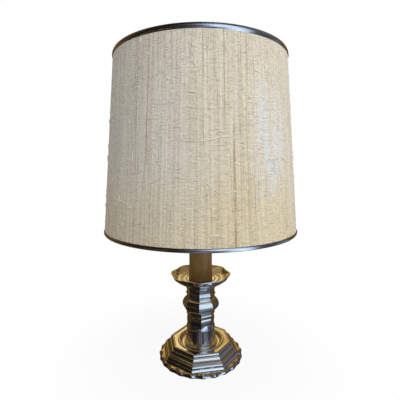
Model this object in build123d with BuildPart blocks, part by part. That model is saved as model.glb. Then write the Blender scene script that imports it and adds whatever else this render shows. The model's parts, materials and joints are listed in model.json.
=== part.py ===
"""Candlestick table lamp: a silver-plated, eight-sided candlestick with a candle sleeve and a drum shade.

The pieces stack on one threaded tube.  Lengths are millimetres, +Z is up, and the origin is the
middle of the felt face that the lamp stands on.  One of the eight flats of the base faces -Y, and the
cord inlet is at the back, towards +Y.
"""
from build123d import *
from math import atan2, cos, radians, sin
import os

# ---- eight-sided castings -----------------------------------------------------------------------
SIDES = 8
HALF_SIDE_ANGLE = 180 / SIDES
LOWER_STEM_TURN = 14.8        # the stacked castings were tightened a little out of line with the base
UPPER_STEM_TURN = 7.8

# ---- base ---------------------------------------------------------------------------------------
BASE_RADIUS = 69.5            # to the points of the pie-crust rim
RIM_HEIGHT = 4.1
RIM_SLOPE = 1.6               # rise of the ledge behind the rim
BITE_COUNT = 24
BITE_DEPTH = 2.3
FELT_THICKNESS = 2.0
FELT_PROUD = 0.5              # the felt stands this far below the metal rim
COVER_THICKNESS = 1.2
COVER_RADIUS = 63.5
COVER_FIT = 0.15
MOULDING_FLAT = 61.0          # axis to the foot of a flat
SLOPE_RUN = 2.4
SLOPE_RISE = 3.4
QUIRK = 0.8                   # the small steps between mouldings
OVOLO_RUN = 1.7
OVOLO_RISE = 3.6
FILLET_RISE = 1.2
COVE_RUN = 4.6
COVE_RISE = 4.6
CROWN_WIDTH = 4.9
CROWN_RISE = 5.1
CROWN_STEP = 1.6              # from the crown bead down to the flat top
RING_RADIUS = 36.6            # round bead on the flat top
RING_HALF_WIDTH = 2.0
RING_RISE = 1.3
WELL_RADIUS = 34.2
WELL_DEPTH = 3.4              # from the flat top down to the floor that the stem stands on
BASE_FLOOR = 3.0              # plate thickness under the well
BASE_WALL = 2.3
BALLAST_THICKNESS = 6.0
BALLAST_FIT = 0.5

# ---- cord inlet ---------------------------------------------------------------------------------
CORD_RADIUS = 3.1
INLET_HEIGHT = 10.6
BUSH_RADIUS = 4.2
BUSH_FLANGE_RADIUS = 5.0
BUSH_FLANGE_THICKNESS = 1.6
BUSH_FIT = 0.05
BUSH_TAIL = 2.0

# ---- threaded tube and its fasteners ------------------------------------------------------------
ROD_RADIUS = 5.0
ROD_BORE_RADIUS = 3.5
THREAD_FIT = 0.04
ROD_CLEARANCE = 0.3
NUT_FLATS = 14.0
NUT_THICKNESS = 4.0
WASHER_RADIUS = 11.0
WASHER_THICKNESS = 1.5
TAG_THICKNESS = 0.8
TAG_LENGTH = 14.0
ROD_TAIL = 1.0                # tube past the bottom nut

# ---- stem foot ----------------------------------------------------------------------------------
FOOT_RADIUS = 28.0
FOOT_NECK_RADIUS = 23.0
FOOT_HEIGHT = 29.5
FOOT_BEAD = 2.6
NECK_BEAD = 3.0
NECK_BEAD_PROUD = 0.9
CASTING_WALL = 3.0

# ---- lower stem ---------------------------------------------------------------------------------
COLLAR_HEIGHT = 7.0
COLLAR_RADIUS = 23.3
LOWER_FLAT = 20.8             # axis to flat
LOWER_SWELL = 0.4
LOWER_SWELL_HEIGHT = 9.0
BEAD_PROUD = 1.25
BEAD_HEIGHT = 3.4
LOWER_NECK_HEIGHT = 3.4

# ---- upper stem with its knop -------------------------------------------------------------------
UPPER_FLAT = 21.35
KNOP_FLAT = 27.7
KNOP_LOWER_RISE = 8.0
KNOP_BAND = 5.2
KNOP_BAND_PROUD = 0.3
KNOP_UPPER_RISE = 10.2
UPPER_NECK_HEIGHT = 2.2
UPPER_BEAD_HEIGHT = 6.2
UPPER_TOP_HEIGHT = 7.7
UPPER_TOP_FLARE = 0.9

# ---- drip pan -----------------------------------------------------------------------------------
PAN_POINT_RADIUS = 48.7
PAN_VALLEY_DEPTH = 3.0
PAN_HOLLOW_ANGLE = 31.0       # span of each hollow scallop
PAN_BODY_RADIUS = 45.3
PAN_FOOT_RADIUS = 24.5
PAN_HEIGHT = 22.7
PAN_LIP_HEIGHT = 4.2
PAN_LIP_WIDTH = 2.0
PAN_FLOOR_HEIGHT = 13.4       # inner floor above the pan's foot
PAN_RING_RADII = (23.4, 30.0)
PAN_RING_RISE = 0.9
PAN_WELL_RADIUS = 15.0
PAN_WELL_DEPTH = 7.5

# ---- candle sleeve ------------------------------------------------------------------------------
SLEEVE_RADIUS = 18.6
SLEEVE_FOOT_RADIUS = 19.5
SLEEVE_WALL = 1.5
SLEEVE_HEIGHT = 108.0
SLEEVE_FLARE = 38.0
SLEEVE_GAP = 0.3

# ---- lamp holder --------------------------------------------------------------------------------
HOLDER_RADIUS = 16.4
HOLDER_SKIRT_RADIUS = 19.6
HOLDER_SKIRT = 2.6
HOLDER_THREAD_RADIUS = 19.2
HOLDER_THREAD_HEIGHT = 22.0
HOLDER_MOUTH_RADIUS = 16.9
HOLDER_MOUTH_DEPTH = 6.0
HOLDER_PLAIN_HEIGHT = 24.0
HOLDER_CAP_HEIGHT = 16.0
HOLDER_CAP_WALL = 2.0
HOLDER_CAP_FLOOR = 8.0
INSERT_HEIGHT = 10.0
SHELL_INNER_RADIUS = 13.4
SHELL_WALL = 0.6
SHELL_FIT = 0.1
SHELL_LIP = 1.2
CONTACT_THICKNESS = 0.8
TERMINAL_RADIUS = 1.7
TERMINAL_SPACING = 15.0
GRUB_RADIUS = 1.5

# ---- shade rings --------------------------------------------------------------------------------
SHADE_RING_RADIUS = 24.5
SHADE_RING_THICKNESS = 3.2
SHADE_RING_FIT = 0.05
SHADE_RING_NOTCHES = 12
FACE_GAP = 0.1

# ---- shade --------------------------------------------------------------------------------------
SHADE_BOTTOM_RADIUS = 150.0
SHADE_TOP_RADIUS = 130.0
SHADE_HEIGHT = 260.0
CARRIER_RISE = 30.0           # carrier washer above the lower edge of the shade
FABRIC_THICKNESS = 0.6
LINING_THICKNESS = 0.5
TRIM_THICKNESS = 1.2
TOP_TRIM_HEIGHT = 7.0
BOTTOM_TRIM_HEIGHT = 5.2
TRIM_RETURN = 2.0
TRIM_FOIL = 0.5
WIRE_RADIUS = 1.5
WIRE_INSET = 5.0              # ring wires in from the edges of the shade
WIRE_FIT = 0.05
CARRIER_THICKNESS = 1.6
CARRIER_RADIUS = 29.0
CARRIER_BORE_FIT = 0.5
ARM_COUNT = 3
ARM_LEVEL_LENGTH = 34.0
ARM_BEND_RADIUS = 25.0

# ---- bulb ---------------------------------------------------------------------------------------
BULB_RADIUS = 30.0
BULB_LENGTH = 108.0
BULB_GLASS_WALL = 0.8
BULB_NECK_RADIUS = 13.0
BULB_CAP_RADIUS = 13.2
BULB_CAP_HEIGHT = 21.0
BULB_THREAD_PITCH = 3.6
BULB_THREAD_DEPTH = 0.9
BULB_TIP_HEIGHT = 4.0
BULB_CONTACT_RADIUS = 4.6

# ---- heights, from the felt up ------------------------------------------------------------------
RIM_BOTTOM = FELT_PROUD
RIM_TOP = RIM_BOTTOM + RIM_HEIGHT
SLOPE_TOP = RIM_TOP + SLOPE_RISE + 0.4 * RIM_SLOPE
OVOLO_BOTTOM = SLOPE_TOP + QUIRK
OVOLO_TOP = OVOLO_BOTTOM + OVOLO_RISE
COVE_BOTTOM = OVOLO_TOP + 2 * FILLET_RISE
COVE_TOP = COVE_BOTTOM + COVE_RISE
CROWN_BOTTOM = COVE_TOP + QUIRK
CROWN_TOP = CROWN_BOTTOM + CROWN_RISE
BASE_TOP = CROWN_TOP - CROWN_STEP
WELL_FLOOR = BASE_TOP - WELL_DEPTH
BASE_CEILING = WELL_FLOOR - BASE_FLOOR
BALLAST_BOTTOM = BASE_CEILING - BALLAST_THICKNESS
COVER_TOP = FELT_THICKNESS + COVER_THICKNESS
WASHER_BOTTOM = BALLAST_BOTTOM - WASHER_THICKNESS
TAG_BOTTOM = WASHER_BOTTOM - TAG_THICKNESS
NUT_BOTTOM = TAG_BOTTOM - NUT_THICKNESS
ROD_BOTTOM = NUT_BOTTOM - ROD_TAIL
LOWER_STEM_BOTTOM = WELL_FLOOR + FOOT_HEIGHT
SWELL_TOP = LOWER_STEM_BOTTOM + COLLAR_HEIGHT + LOWER_SWELL_HEIGHT
LOWER_BEAD_BOTTOM = SWELL_TOP + BEAD_HEIGHT
LOWER_BEAD_TOP = LOWER_BEAD_BOTTOM + BEAD_HEIGHT
UPPER_STEM_BOTTOM = LOWER_BEAD_TOP + LOWER_NECK_HEIGHT
KNOP_BAND_BOTTOM = UPPER_STEM_BOTTOM + KNOP_LOWER_RISE
KNOP_BAND_TOP = KNOP_BAND_BOTTOM + KNOP_BAND
KNOP_TOP = KNOP_BAND_TOP + KNOP_UPPER_RISE
UPPER_BEAD_BOTTOM = KNOP_TOP + UPPER_NECK_HEIGHT
UPPER_BEAD_TOP = UPPER_BEAD_BOTTOM + UPPER_BEAD_HEIGHT
PAN_BOTTOM = UPPER_BEAD_TOP + UPPER_TOP_HEIGHT
PAN_FLOOR = PAN_BOTTOM + PAN_FLOOR_HEIGHT
PAN_TOP = PAN_BOTTOM + PAN_HEIGHT
PAN_LIP_BOTTOM = PAN_TOP - PAN_LIP_HEIGHT
PAN_WELL_FLOOR = PAN_FLOOR - PAN_WELL_DEPTH
PAN_NUT_BOTTOM = PAN_WELL_FLOOR + WASHER_THICKNESS
SLEEVE_BOTTOM = PAN_FLOOR + SLEEVE_GAP
SLEEVE_TOP = SLEEVE_BOTTOM + SLEEVE_HEIGHT
SKIRT_BOTTOM = SLEEVE_TOP + SLEEVE_GAP
SKIRT_TOP = SKIRT_BOTTOM + HOLDER_SKIRT
HOLDER_TOP = SKIRT_TOP + HOLDER_THREAD_HEIGHT
MOUTH_BOTTOM = HOLDER_TOP - HOLDER_MOUTH_DEPTH
HOLDER_PLAIN_BOTTOM = SKIRT_BOTTOM - HOLDER_PLAIN_HEIGHT
HOLDER_CAP_BOTTOM = HOLDER_PLAIN_BOTTOM - HOLDER_CAP_HEIGHT
ROD_TOP = HOLDER_CAP_BOTTOM + HOLDER_CAP_FLOOR
INSERT_BOTTOM = HOLDER_PLAIN_BOTTOM + TERMINAL_RADIUS * 2
INSERT_TOP = INSERT_BOTTOM + INSERT_HEIGHT
SHELL_TOP = MOUTH_BOTTOM - SHELL_LIP
CONTACT_TOP = INSERT_TOP + CONTACT_THICKNESS
LOWER_RING_BOTTOM = SKIRT_TOP + FACE_GAP
LOWER_RING_TOP = LOWER_RING_BOTTOM + SHADE_RING_THICKNESS
CARRIER_BOTTOM = LOWER_RING_TOP + FACE_GAP
CARRIER_TOP = CARRIER_BOTTOM + CARRIER_THICKNESS
UPPER_RING_BOTTOM = CARRIER_TOP + FACE_GAP
UPPER_RING_TOP = UPPER_RING_BOTTOM + SHADE_RING_THICKNESS
SHADE_BOTTOM = CARRIER_BOTTOM - CARRIER_RISE
SHADE_TOP = SHADE_BOTTOM + SHADE_HEIGHT
BULB_BOTTOM = CONTACT_TOP + FACE_GAP
BULB_CAP_BOTTOM = BULB_BOTTOM + BULB_TIP_HEIGHT
BULB_CAP_TOP = BULB_CAP_BOTTOM + BULB_CAP_HEIGHT
BULB_TOP = BULB_BOTTOM + BULB_LENGTH

# ---- plan sizes that follow from the ones above -------------------------------------------------
OVOLO_FLAT = MOULDING_FLAT - SLOPE_RUN - QUIRK
COVE_FLAT = OVOLO_FLAT - OVOLO_RUN - 2 * QUIRK
COVE_TOP_FLAT = COVE_FLAT - COVE_RUN
CROWN_FLAT = COVE_TOP_FLAT - 2 * QUIRK
CROWN_INNER_FLAT = CROWN_FLAT - CROWN_WIDTH
LOWER_CAVITY_FLAT = COVE_FLAT - BASE_WALL
UPPER_CAVITY_FLAT = COVE_TOP_FLAT - BASE_WALL - QUIRK
CAVITY_STEP = (COVE_BOTTOM + OVOLO_TOP) / 2
INLET_SEAT = LOWER_CAVITY_FLAT + BASE_WALL - 0.3
SLEEVE_BORE_RADIUS = SLEEVE_RADIUS - SLEEVE_WALL
SHELL_OUTER_RADIUS = SHELL_INNER_RADIUS + SHELL_WALL
SHADE_SLOPE = (SHADE_BOTTOM_RADIUS - SHADE_TOP_RADIUS) / SHADE_HEIGHT

os.makedirs("parts", exist_ok=True)


# ---- shared construction ------------------------------------------------------------------------
def facetted(half_profile, reach, turn=0.0):
    """An eight-sided casting: one moulding profile, the same on every side, mitred at the corners."""
    with BuildPart() as casting:
        for side in range(SIDES // 2):
            section_plane = Plane.XZ.rotated((0, 0, turn + side * 2 * HALF_SIDE_ANGLE))
            with BuildSketch(section_plane):
                with BuildLine():
                    half_profile()
                    mirror(about=Plane.YZ)
                make_face()
            extrude(amount=reach, both=True, mode=Mode.ADD if side == 0 else Mode.INTERSECT)
    return casting.part


def turned(half_profile):
    """A solid turned on the lamp's axis from its half profile."""
    with BuildPart() as body:
        with BuildSketch(Plane.XZ):
            with BuildLine():
                half_profile()
            make_face()
        revolve(axis=Axis.Z)
    return body.part


def tube(outer_radius, inner_radius, bottom, top):
    """A plain upright tube between two heights."""
    with BuildPart() as body:
        with BuildSketch(Plane.XY.offset(bottom)):
            Circle(outer_radius)
            Circle(inner_radius, mode=Mode.SUBTRACT)
        extrude(amount=top - bottom)
    return body.part


def hex_nut(bottom):
    """A thin nut on the threaded tube."""
    with BuildPart() as nut:
        with BuildSketch(Plane.XY.offset(bottom)):
            RegularPolygon(NUT_FLATS / 2, 6, major_radius=False)
            Circle(ROD_RADIUS + THREAD_FIT, mode=Mode.SUBTRACT)
        extrude(amount=NUT_THICKNESS)
        chamfer(nut.faces().sort_by(Axis.Z)[-1].outer_wire().edges(), 0.4)
    return nut.part


def finish(piece, name):
    """Name a finished piece and write it out."""
    piece.label = name
    export_step(piece, f"parts/{name}.step")


# ---- base ---------------------------------------------------------------------------------------
def base_half_profile():
    """Slope, ovolo, two fillets, cove and crown bead, from the rim up."""
    ovolo_top = (OVOLO_FLAT - OVOLO_RUN, OVOLO_TOP)
    middle_fillet = ovolo_top[0] - QUIRK
    Line((0, RIM_BOTTOM), (MOULDING_FLAT, RIM_BOTTOM))
    Polyline(
        (MOULDING_FLAT, RIM_BOTTOM),
        (MOULDING_FLAT, RIM_TOP),
        (MOULDING_FLAT - SLOPE_RUN, SLOPE_TOP),
        (OVOLO_FLAT, SLOPE_TOP),
        (OVOLO_FLAT, OVOLO_BOTTOM),
    )
    ThreePointArc(
        (OVOLO_FLAT, OVOLO_BOTTOM),
        (OVOLO_FLAT - 0.25 * OVOLO_RUN, OVOLO_BOTTOM + 0.6 * OVOLO_RISE),
        ovolo_top,
    )
    Polyline(
        ovolo_top,
        (middle_fillet, OVOLO_TOP),
        (middle_fillet, OVOLO_TOP + FILLET_RISE),
        (COVE_FLAT, OVOLO_TOP + FILLET_RISE),
        (COVE_FLAT, COVE_BOTTOM),
    )
    ThreePointArc(
        (COVE_FLAT, COVE_BOTTOM),
        (COVE_FLAT - 0.62 * COVE_RUN, COVE_BOTTOM + 0.42 * COVE_RISE),
        (COVE_TOP_FLAT, COVE_TOP),
    )
    Polyline(
        (COVE_TOP_FLAT, COVE_TOP),
        (CROWN_FLAT + QUIRK, COVE_TOP),
        (CROWN_FLAT + QUIRK, CROWN_BOTTOM),
        (CROWN_FLAT, CROWN_BOTTOM),
    )
    ThreePointArc(
        (CROWN_FLAT, CROWN_BOTTOM),
        (CROWN_FLAT - 0.18 * CROWN_WIDTH, CROWN_BOTTOM + 0.72 * CROWN_RISE),
        (CROWN_INNER_FLAT + 0.3 * CROWN_WIDTH, CROWN_TOP),
    )
    Polyline(
        (CROWN_INNER_FLAT + 0.3 * CROWN_WIDTH, CROWN_TOP),
        (CROWN_INNER_FLAT, CROWN_TOP - 0.4 * CROWN_STEP),
        (0, CROWN_TOP - 0.4 * CROWN_STEP),
    )


def rim_half_profile():
    """The round rim, with a ledge that rises towards the mouldings."""
    Polyline(
        (0, RIM_BOTTOM),
        (BASE_RADIUS, RIM_BOTTOM),
        (BASE_RADIUS, RIM_TOP),
        (MOULDING_FLAT - QUIRK, RIM_TOP + RIM_SLOPE),
        (0, RIM_TOP + RIM_SLOPE),
        close=True,
    )


def ring_half_profile():
    """The round bead on the flat top of the base, around the well."""
    Line((RING_RADIUS - RING_HALF_WIDTH, BASE_TOP - QUIRK), (RING_RADIUS + RING_HALF_WIDTH, BASE_TOP - QUIRK))
    Line((RING_RADIUS + RING_HALF_WIDTH, BASE_TOP - QUIRK), (RING_RADIUS + RING_HALF_WIDTH, BASE_TOP))
    ThreePointArc(
        (RING_RADIUS + RING_HALF_WIDTH, BASE_TOP),
        (RING_RADIUS, BASE_TOP + RING_RISE),
        (RING_RADIUS - RING_HALF_WIDTH, BASE_TOP),
    )
    Line((RING_RADIUS - RING_HALF_WIDTH, BASE_TOP), (RING_RADIUS - RING_HALF_WIDTH, BASE_TOP - QUIRK))


def well_half_profile():
    """The round well that the stem stands in, with a hollow wall."""
    above = CROWN_TOP + RING_RISE
    Line((0, WELL_FLOOR), (FOOT_RADIUS + QUIRK, WELL_FLOOR))
    ThreePointArc(
        (FOOT_RADIUS + QUIRK, WELL_FLOOR),
        (WELL_RADIUS - 0.25 * (WELL_RADIUS - FOOT_RADIUS), WELL_FLOOR + 0.3 * WELL_DEPTH),
        (WELL_RADIUS, BASE_TOP),
    )
    Polyline((WELL_RADIUS, BASE_TOP), (WELL_RADIUS, above), (0, above), (0, WELL_FLOOR))


bite_chord = BASE_RADIUS * sin(radians(180 / BITE_COUNT))
bite_sagitta = BITE_DEPTH - BASE_RADIUS * (1 - cos(radians(180 / BITE_COUNT)))
bite_radius = (bite_chord**2 + bite_sagitta**2) / (2 * bite_sagitta)
base_mouldings = facetted(base_half_profile, BASE_RADIUS)
base_rim = turned(rim_half_profile)
base_ring = turned(ring_half_profile)
base_well = turned(well_half_profile)
inlet_plane = Plane(origin=(0, LOWER_CAVITY_FLAT - BUSH_TAIL, INLET_HEIGHT), x_dir=(1, 0, 0), z_dir=(0, 1, 0))
inlet_seat_plane = Plane(origin=(0, INLET_SEAT, INLET_HEIGHT), x_dir=(1, 0, 0), z_dir=(0, 1, 0))

with BuildPart() as base_shell:
    add(base_rim)
    with BuildSketch(Plane.XY):
        with PolarLocations(BASE_RADIUS - BITE_DEPTH + bite_radius, BITE_COUNT,
                            start_angle=HALF_SIDE_ANGLE + 180 / BITE_COUNT):
            Circle(bite_radius)
    extrude(amount=RIM_TOP + RIM_SLOPE, mode=Mode.SUBTRACT)
    add(base_mouldings)
    with BuildSketch(Plane.XY.offset(BASE_TOP)):
        RegularPolygon(CROWN_INNER_FLAT, SIDES, major_radius=False, rotation=HALF_SIDE_ANGLE)
    extrude(amount=CROWN_STEP + 1, mode=Mode.SUBTRACT)
    add(base_ring)
    add(base_well, mode=Mode.SUBTRACT)
    with BuildSketch(Plane.XY):
        Circle(COVER_RADIUS + COVER_FIT)
    extrude(amount=COVER_TOP, mode=Mode.SUBTRACT)
    with BuildSketch(Plane.XY.offset(COVER_TOP)):
        RegularPolygon(LOWER_CAVITY_FLAT, SIDES, major_radius=False, rotation=HALF_SIDE_ANGLE)
    extrude(amount=CAVITY_STEP - COVER_TOP, mode=Mode.SUBTRACT)
    with BuildSketch(Plane.XY.offset(CAVITY_STEP)):
        RegularPolygon(UPPER_CAVITY_FLAT, SIDES, major_radius=False, rotation=HALF_SIDE_ANGLE)
    extrude(amount=BASE_CEILING - CAVITY_STEP, mode=Mode.SUBTRACT)
    with BuildSketch(Plane.XY.offset(BASE_CEILING)):
        Circle(ROD_RADIUS + ROD_CLEARANCE)
    extrude(amount=BASE_FLOOR, mode=Mode.SUBTRACT)
    with BuildSketch(inlet_plane):
        Circle(BUSH_RADIUS + BUSH_FIT)
    extrude(amount=BASE_RADIUS, mode=Mode.SUBTRACT)
    with BuildSketch(inlet_seat_plane):
        Circle(BUSH_FLANGE_RADIUS + BUSH_FIT)
    extrude(amount=BASE_RADIUS, mode=Mode.SUBTRACT)
finish(base_shell.part, "base_shell")

with BuildPart() as cord_bush:
    with BuildSketch(inlet_plane):
        Circle(BUSH_RADIUS)
    extrude(amount=INLET_SEAT - LOWER_CAVITY_FLAT + BUSH_TAIL)
    with BuildSketch(inlet_seat_plane):
        Circle(BUSH_FLANGE_RADIUS)
    extrude(amount=BUSH_FLANGE_THICKNESS)
    fillet(cord_bush.edges().filter_by(GeomType.CIRCLE).sort_by(Axis.Y)[-1], BUSH_FLANGE_THICKNESS * 0.4)
    with BuildSketch(inlet_plane):
        Circle(CORD_RADIUS)
    extrude(amount=BASE_RADIUS, mode=Mode.SUBTRACT)
finish(cord_bush.part, "cord_bush")

finish(tube(UPPER_CAVITY_FLAT - BALLAST_FIT, ROD_RADIUS + ROD_CLEARANCE, BALLAST_BOTTOM, BASE_CEILING),
       "ballast_plate")
with BuildPart() as base_cover:
    with BuildSketch(Plane.XY.offset(FELT_THICKNESS)):
        Circle(COVER_RADIUS)
    extrude(amount=COVER_THICKNESS)
finish(base_cover.part, "base_cover")
with BuildPart() as felt_pad:
    with BuildSketch(Plane.XY):
        Circle(COVER_RADIUS - 1)
    extrude(amount=FELT_THICKNESS)
finish(felt_pad.part, "felt_pad")

# ---- threaded tube and fasteners ----------------------------------------------------------------
finish(tube(ROD_RADIUS, ROD_BORE_RADIUS, ROD_BOTTOM, ROD_TOP), "central_rod")
finish(tube(WASHER_RADIUS, ROD_RADIUS + ROD_CLEARANCE, WASHER_BOTTOM, BALLAST_BOTTOM), "base_washer")
finish(hex_nut(NUT_BOTTOM), "base_nut")
with BuildPart() as earth_tag:
    with BuildSketch(Plane.XY.offset(TAG_BOTTOM)):
        Circle(NUT_FLATS / 2)
        with Locations((TAG_LENGTH / 2, 0)):
            Rectangle(TAG_LENGTH, NUT_FLATS / 3)
        Circle(ROD_RADIUS + ROD_CLEARANCE, mode=Mode.SUBTRACT)
        with Locations((TAG_LENGTH - NUT_FLATS / 6, 0)):
            Circle(NUT_FLATS / 10, mode=Mode.SUBTRACT)
    extrude(amount=TAG_THICKNESS)
finish(earth_tag.part, "earth_tag")
finish(tube(WASHER_RADIUS, ROD_RADIUS + ROD_CLEARANCE, PAN_WELL_FLOOR, PAN_NUT_BOTTOM), "pan_washer")
finish(hex_nut(PAN_NUT_BOTTOM), "pan_nut")


# ---- stem ---------------------------------------------------------------------------------------
def foot_half_profile():
    """A foot bead, a flared shaft and a neck bead."""
    bead_top = WELL_FLOOR + FOOT_BEAD
    neck_bottom = LOWER_STEM_BOTTOM - NECK_BEAD
    Line((0, WELL_FLOOR), (FOOT_RADIUS - QUIRK, WELL_FLOOR))
    ThreePointArc(
        (FOOT_RADIUS - QUIRK, WELL_FLOOR),
        (FOOT_RADIUS, WELL_FLOOR + FOOT_BEAD / 2),
        (FOOT_RADIUS - QUIRK, bead_top),
    )
    Line((FOOT_RADIUS - QUIRK, bead_top), (FOOT_RADIUS - 2 * QUIRK, bead_top))
    ThreePointArc(
        (FOOT_RADIUS - 2 * QUIRK, bead_top),
        (FOOT_NECK_RADIUS + 0.25 * (FOOT_RADIUS - FOOT_NECK_RADIUS), bead_top + 0.4 * (neck_bottom - bead_top)),
        (FOOT_NECK_RADIUS, neck_bottom),
    )
    ThreePointArc(
        (FOOT_NECK_RADIUS, neck_bottom),
        (FOOT_NECK_RADIUS + NECK_BEAD_PROUD, neck_bottom + NECK_BEAD / 2),
        (FOOT_NECK_RADIUS, LOWER_STEM_BOTTOM),
    )
    Polyline((FOOT_NECK_RADIUS, LOWER_STEM_BOTTOM), (0, LOWER_STEM_BOTTOM), (0, WELL_FLOOR))


def lower_stem_half_profile():
    """A plain flat, a soft swell, a bead and a neck."""
    swell_bottom = LOWER_STEM_BOTTOM + COLLAR_HEIGHT
    bead_flat = LOWER_FLAT + 0.5
    Line((0, LOWER_STEM_BOTTOM), (LOWER_FLAT, LOWER_STEM_BOTTOM))
    Line((LOWER_FLAT, LOWER_STEM_BOTTOM), (LOWER_FLAT, swell_bottom))
    ThreePointArc(
        (LOWER_FLAT, swell_bottom),
        (LOWER_FLAT + LOWER_SWELL, (swell_bottom + SWELL_TOP) / 2),
        (LOWER_FLAT - LOWER_SWELL / 4, SWELL_TOP),
    )
    ThreePointArc(
        (LOWER_FLAT - LOWER_SWELL / 4, SWELL_TOP),
        (LOWER_FLAT, SWELL_TOP + 0.6 * BEAD_HEIGHT),
        (bead_flat, LOWER_BEAD_BOTTOM),
    )
    ThreePointArc(
        (bead_flat, LOWER_BEAD_BOTTOM),
        (LOWER_FLAT + BEAD_PROUD, LOWER_BEAD_BOTTOM + 0.45 * BEAD_HEIGHT),
        (bead_flat, LOWER_BEAD_TOP),
    )
    Polyline(
        (bead_flat, LOWER_BEAD_TOP),
        (bead_flat, UPPER_STEM_BOTTOM),
        (0, UPPER_STEM_BOTTOM),
    )


def collar_half_profile():
    """The round hollow collar where the stem turns from eight sides to round."""
    collar_top = LOWER_STEM_BOTTOM + COLLAR_HEIGHT
    Line((0, LOWER_STEM_BOTTOM), (COLLAR_RADIUS, LOWER_STEM_BOTTOM))
    ThreePointArc(
        (COLLAR_RADIUS, LOWER_STEM_BOTTOM),
        (LOWER_FLAT + 0.3 * (COLLAR_RADIUS - LOWER_FLAT), LOWER_STEM_BOTTOM + 0.4 * COLLAR_HEIGHT),
        (LOWER_FLAT, collar_top),
    )
    Polyline((LOWER_FLAT, collar_top), (0, collar_top), (0, LOWER_STEM_BOTTOM))


def upper_stem_half_profile():
    """The knop with its flat band, a neck, a bead and a flare up to the pan."""
    band_flat = KNOP_FLAT + KNOP_BAND_PROUD
    Line((0, UPPER_STEM_BOTTOM), (UPPER_FLAT, UPPER_STEM_BOTTOM))
    ThreePointArc(
        (UPPER_FLAT, UPPER_STEM_BOTTOM),
        (UPPER_FLAT + 0.72 * (KNOP_FLAT - UPPER_FLAT), UPPER_STEM_BOTTOM + 0.45 * KNOP_LOWER_RISE),
        (KNOP_FLAT, KNOP_BAND_BOTTOM),
    )
    Polyline(
        (KNOP_FLAT, KNOP_BAND_BOTTOM),
        (band_flat, KNOP_BAND_BOTTOM),
        (band_flat, KNOP_BAND_TOP),
        (KNOP_FLAT, KNOP_BAND_TOP),
    )
    ThreePointArc(
        (KNOP_FLAT, KNOP_BAND_TOP),
        (UPPER_FLAT + 0.7 * (KNOP_FLAT - UPPER_FLAT), KNOP_BAND_TOP + 0.52 * KNOP_UPPER_RISE),
        (UPPER_FLAT, KNOP_TOP),
    )
    Line((UPPER_FLAT, KNOP_TOP), (UPPER_FLAT, UPPER_BEAD_BOTTOM))
    ThreePointArc(
        (UPPER_FLAT, UPPER_BEAD_BOTTOM),
        (UPPER_FLAT + BEAD_PROUD, UPPER_BEAD_BOTTOM + 0.5 * UPPER_BEAD_HEIGHT),
        (UPPER_FLAT, UPPER_BEAD_TOP),
    )
    ThreePointArc(
        (UPPER_FLAT, UPPER_BEAD_TOP),
        (UPPER_FLAT + 0.25 * UPPER_TOP_FLARE, UPPER_BEAD_TOP + 0.6 * UPPER_TOP_HEIGHT),
        (UPPER_FLAT + UPPER_TOP_FLARE, PAN_BOTTOM),
    )
    Line((UPPER_FLAT + UPPER_TOP_FLARE, PAN_BOTTOM), (0, PAN_BOTTOM))


def casting_core(bottom, top, radius):
    """The hollow inside a casting: a wide core between two webs, and the hole for the tube."""
    with BuildPart() as core:
        with BuildSketch(Plane.XY.offset(bottom + CASTING_WALL)):
            Circle(radius)
        extrude(amount=top - bottom - 2 * CASTING_WALL)
        with BuildSketch(Plane.XY.offset(bottom)):
            Circle(ROD_RADIUS + ROD_CLEARANCE)
        extrude(amount=top - bottom)
    return core.part


foot_blank = turned(foot_half_profile)
foot_core = casting_core(WELL_FLOOR, LOWER_STEM_BOTTOM, FOOT_NECK_RADIUS - CASTING_WALL)
lower_blank = facetted(lower_stem_half_profile, COLLAR_RADIUS * 2, LOWER_STEM_TURN)
collar_blank = turned(collar_half_profile)
lower_core = casting_core(LOWER_STEM_BOTTOM, UPPER_STEM_BOTTOM, LOWER_FLAT - CASTING_WALL)
upper_blank = facetted(upper_stem_half_profile, KNOP_FLAT * 2, UPPER_STEM_TURN)
upper_core = casting_core(UPPER_STEM_BOTTOM, PAN_BOTTOM, UPPER_FLAT - CASTING_WALL)

with BuildPart() as stem_foot:
    add(foot_blank)
    add(foot_core, mode=Mode.SUBTRACT)
finish(stem_foot.part, "stem_foot")

with BuildPart() as lower_stem:
    add(lower_blank)
    add(collar_blank)
    add(lower_core, mode=Mode.SUBTRACT)
finish(lower_stem.part, "lower_stem")

with BuildPart() as upper_stem:
    add(upper_blank)
    add(upper_core, mode=Mode.SUBTRACT)
finish(upper_stem.part, "upper_stem")


# ---- drip pan -----------------------------------------------------------------------------------
def pan_half_profile():
    """The outside of the bowl: a small cavetto over the foot, then a fuller flare up to the lip's underside."""
    spread = PAN_BODY_RADIUS - PAN_FOOT_RADIUS
    hip = (PAN_FOOT_RADIUS + 0.28 * spread, PAN_BOTTOM + 0.28 * PAN_HEIGHT)
    shoulder = (PAN_FOOT_RADIUS + 0.96 * spread, PAN_BOTTOM + 0.7 * PAN_HEIGHT)
    Line((0, PAN_BOTTOM), (PAN_FOOT_RADIUS, PAN_BOTTOM))
    ThreePointArc(
        (PAN_FOOT_RADIUS, PAN_BOTTOM),
        (PAN_FOOT_RADIUS + 0.1 * spread, PAN_BOTTOM + 0.14 * PAN_HEIGHT),
        hip,
    )
    ThreePointArc(hip, (PAN_FOOT_RADIUS + 0.63 * spread, PAN_BOTTOM + 0.475 * PAN_HEIGHT), shoulder)
    Line(shoulder, (PAN_BODY_RADIUS, PAN_LIP_BOTTOM))
    Polyline((PAN_BODY_RADIUS, PAN_LIP_BOTTOM), (0, PAN_LIP_BOTTOM), (0, PAN_BOTTOM))


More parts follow.
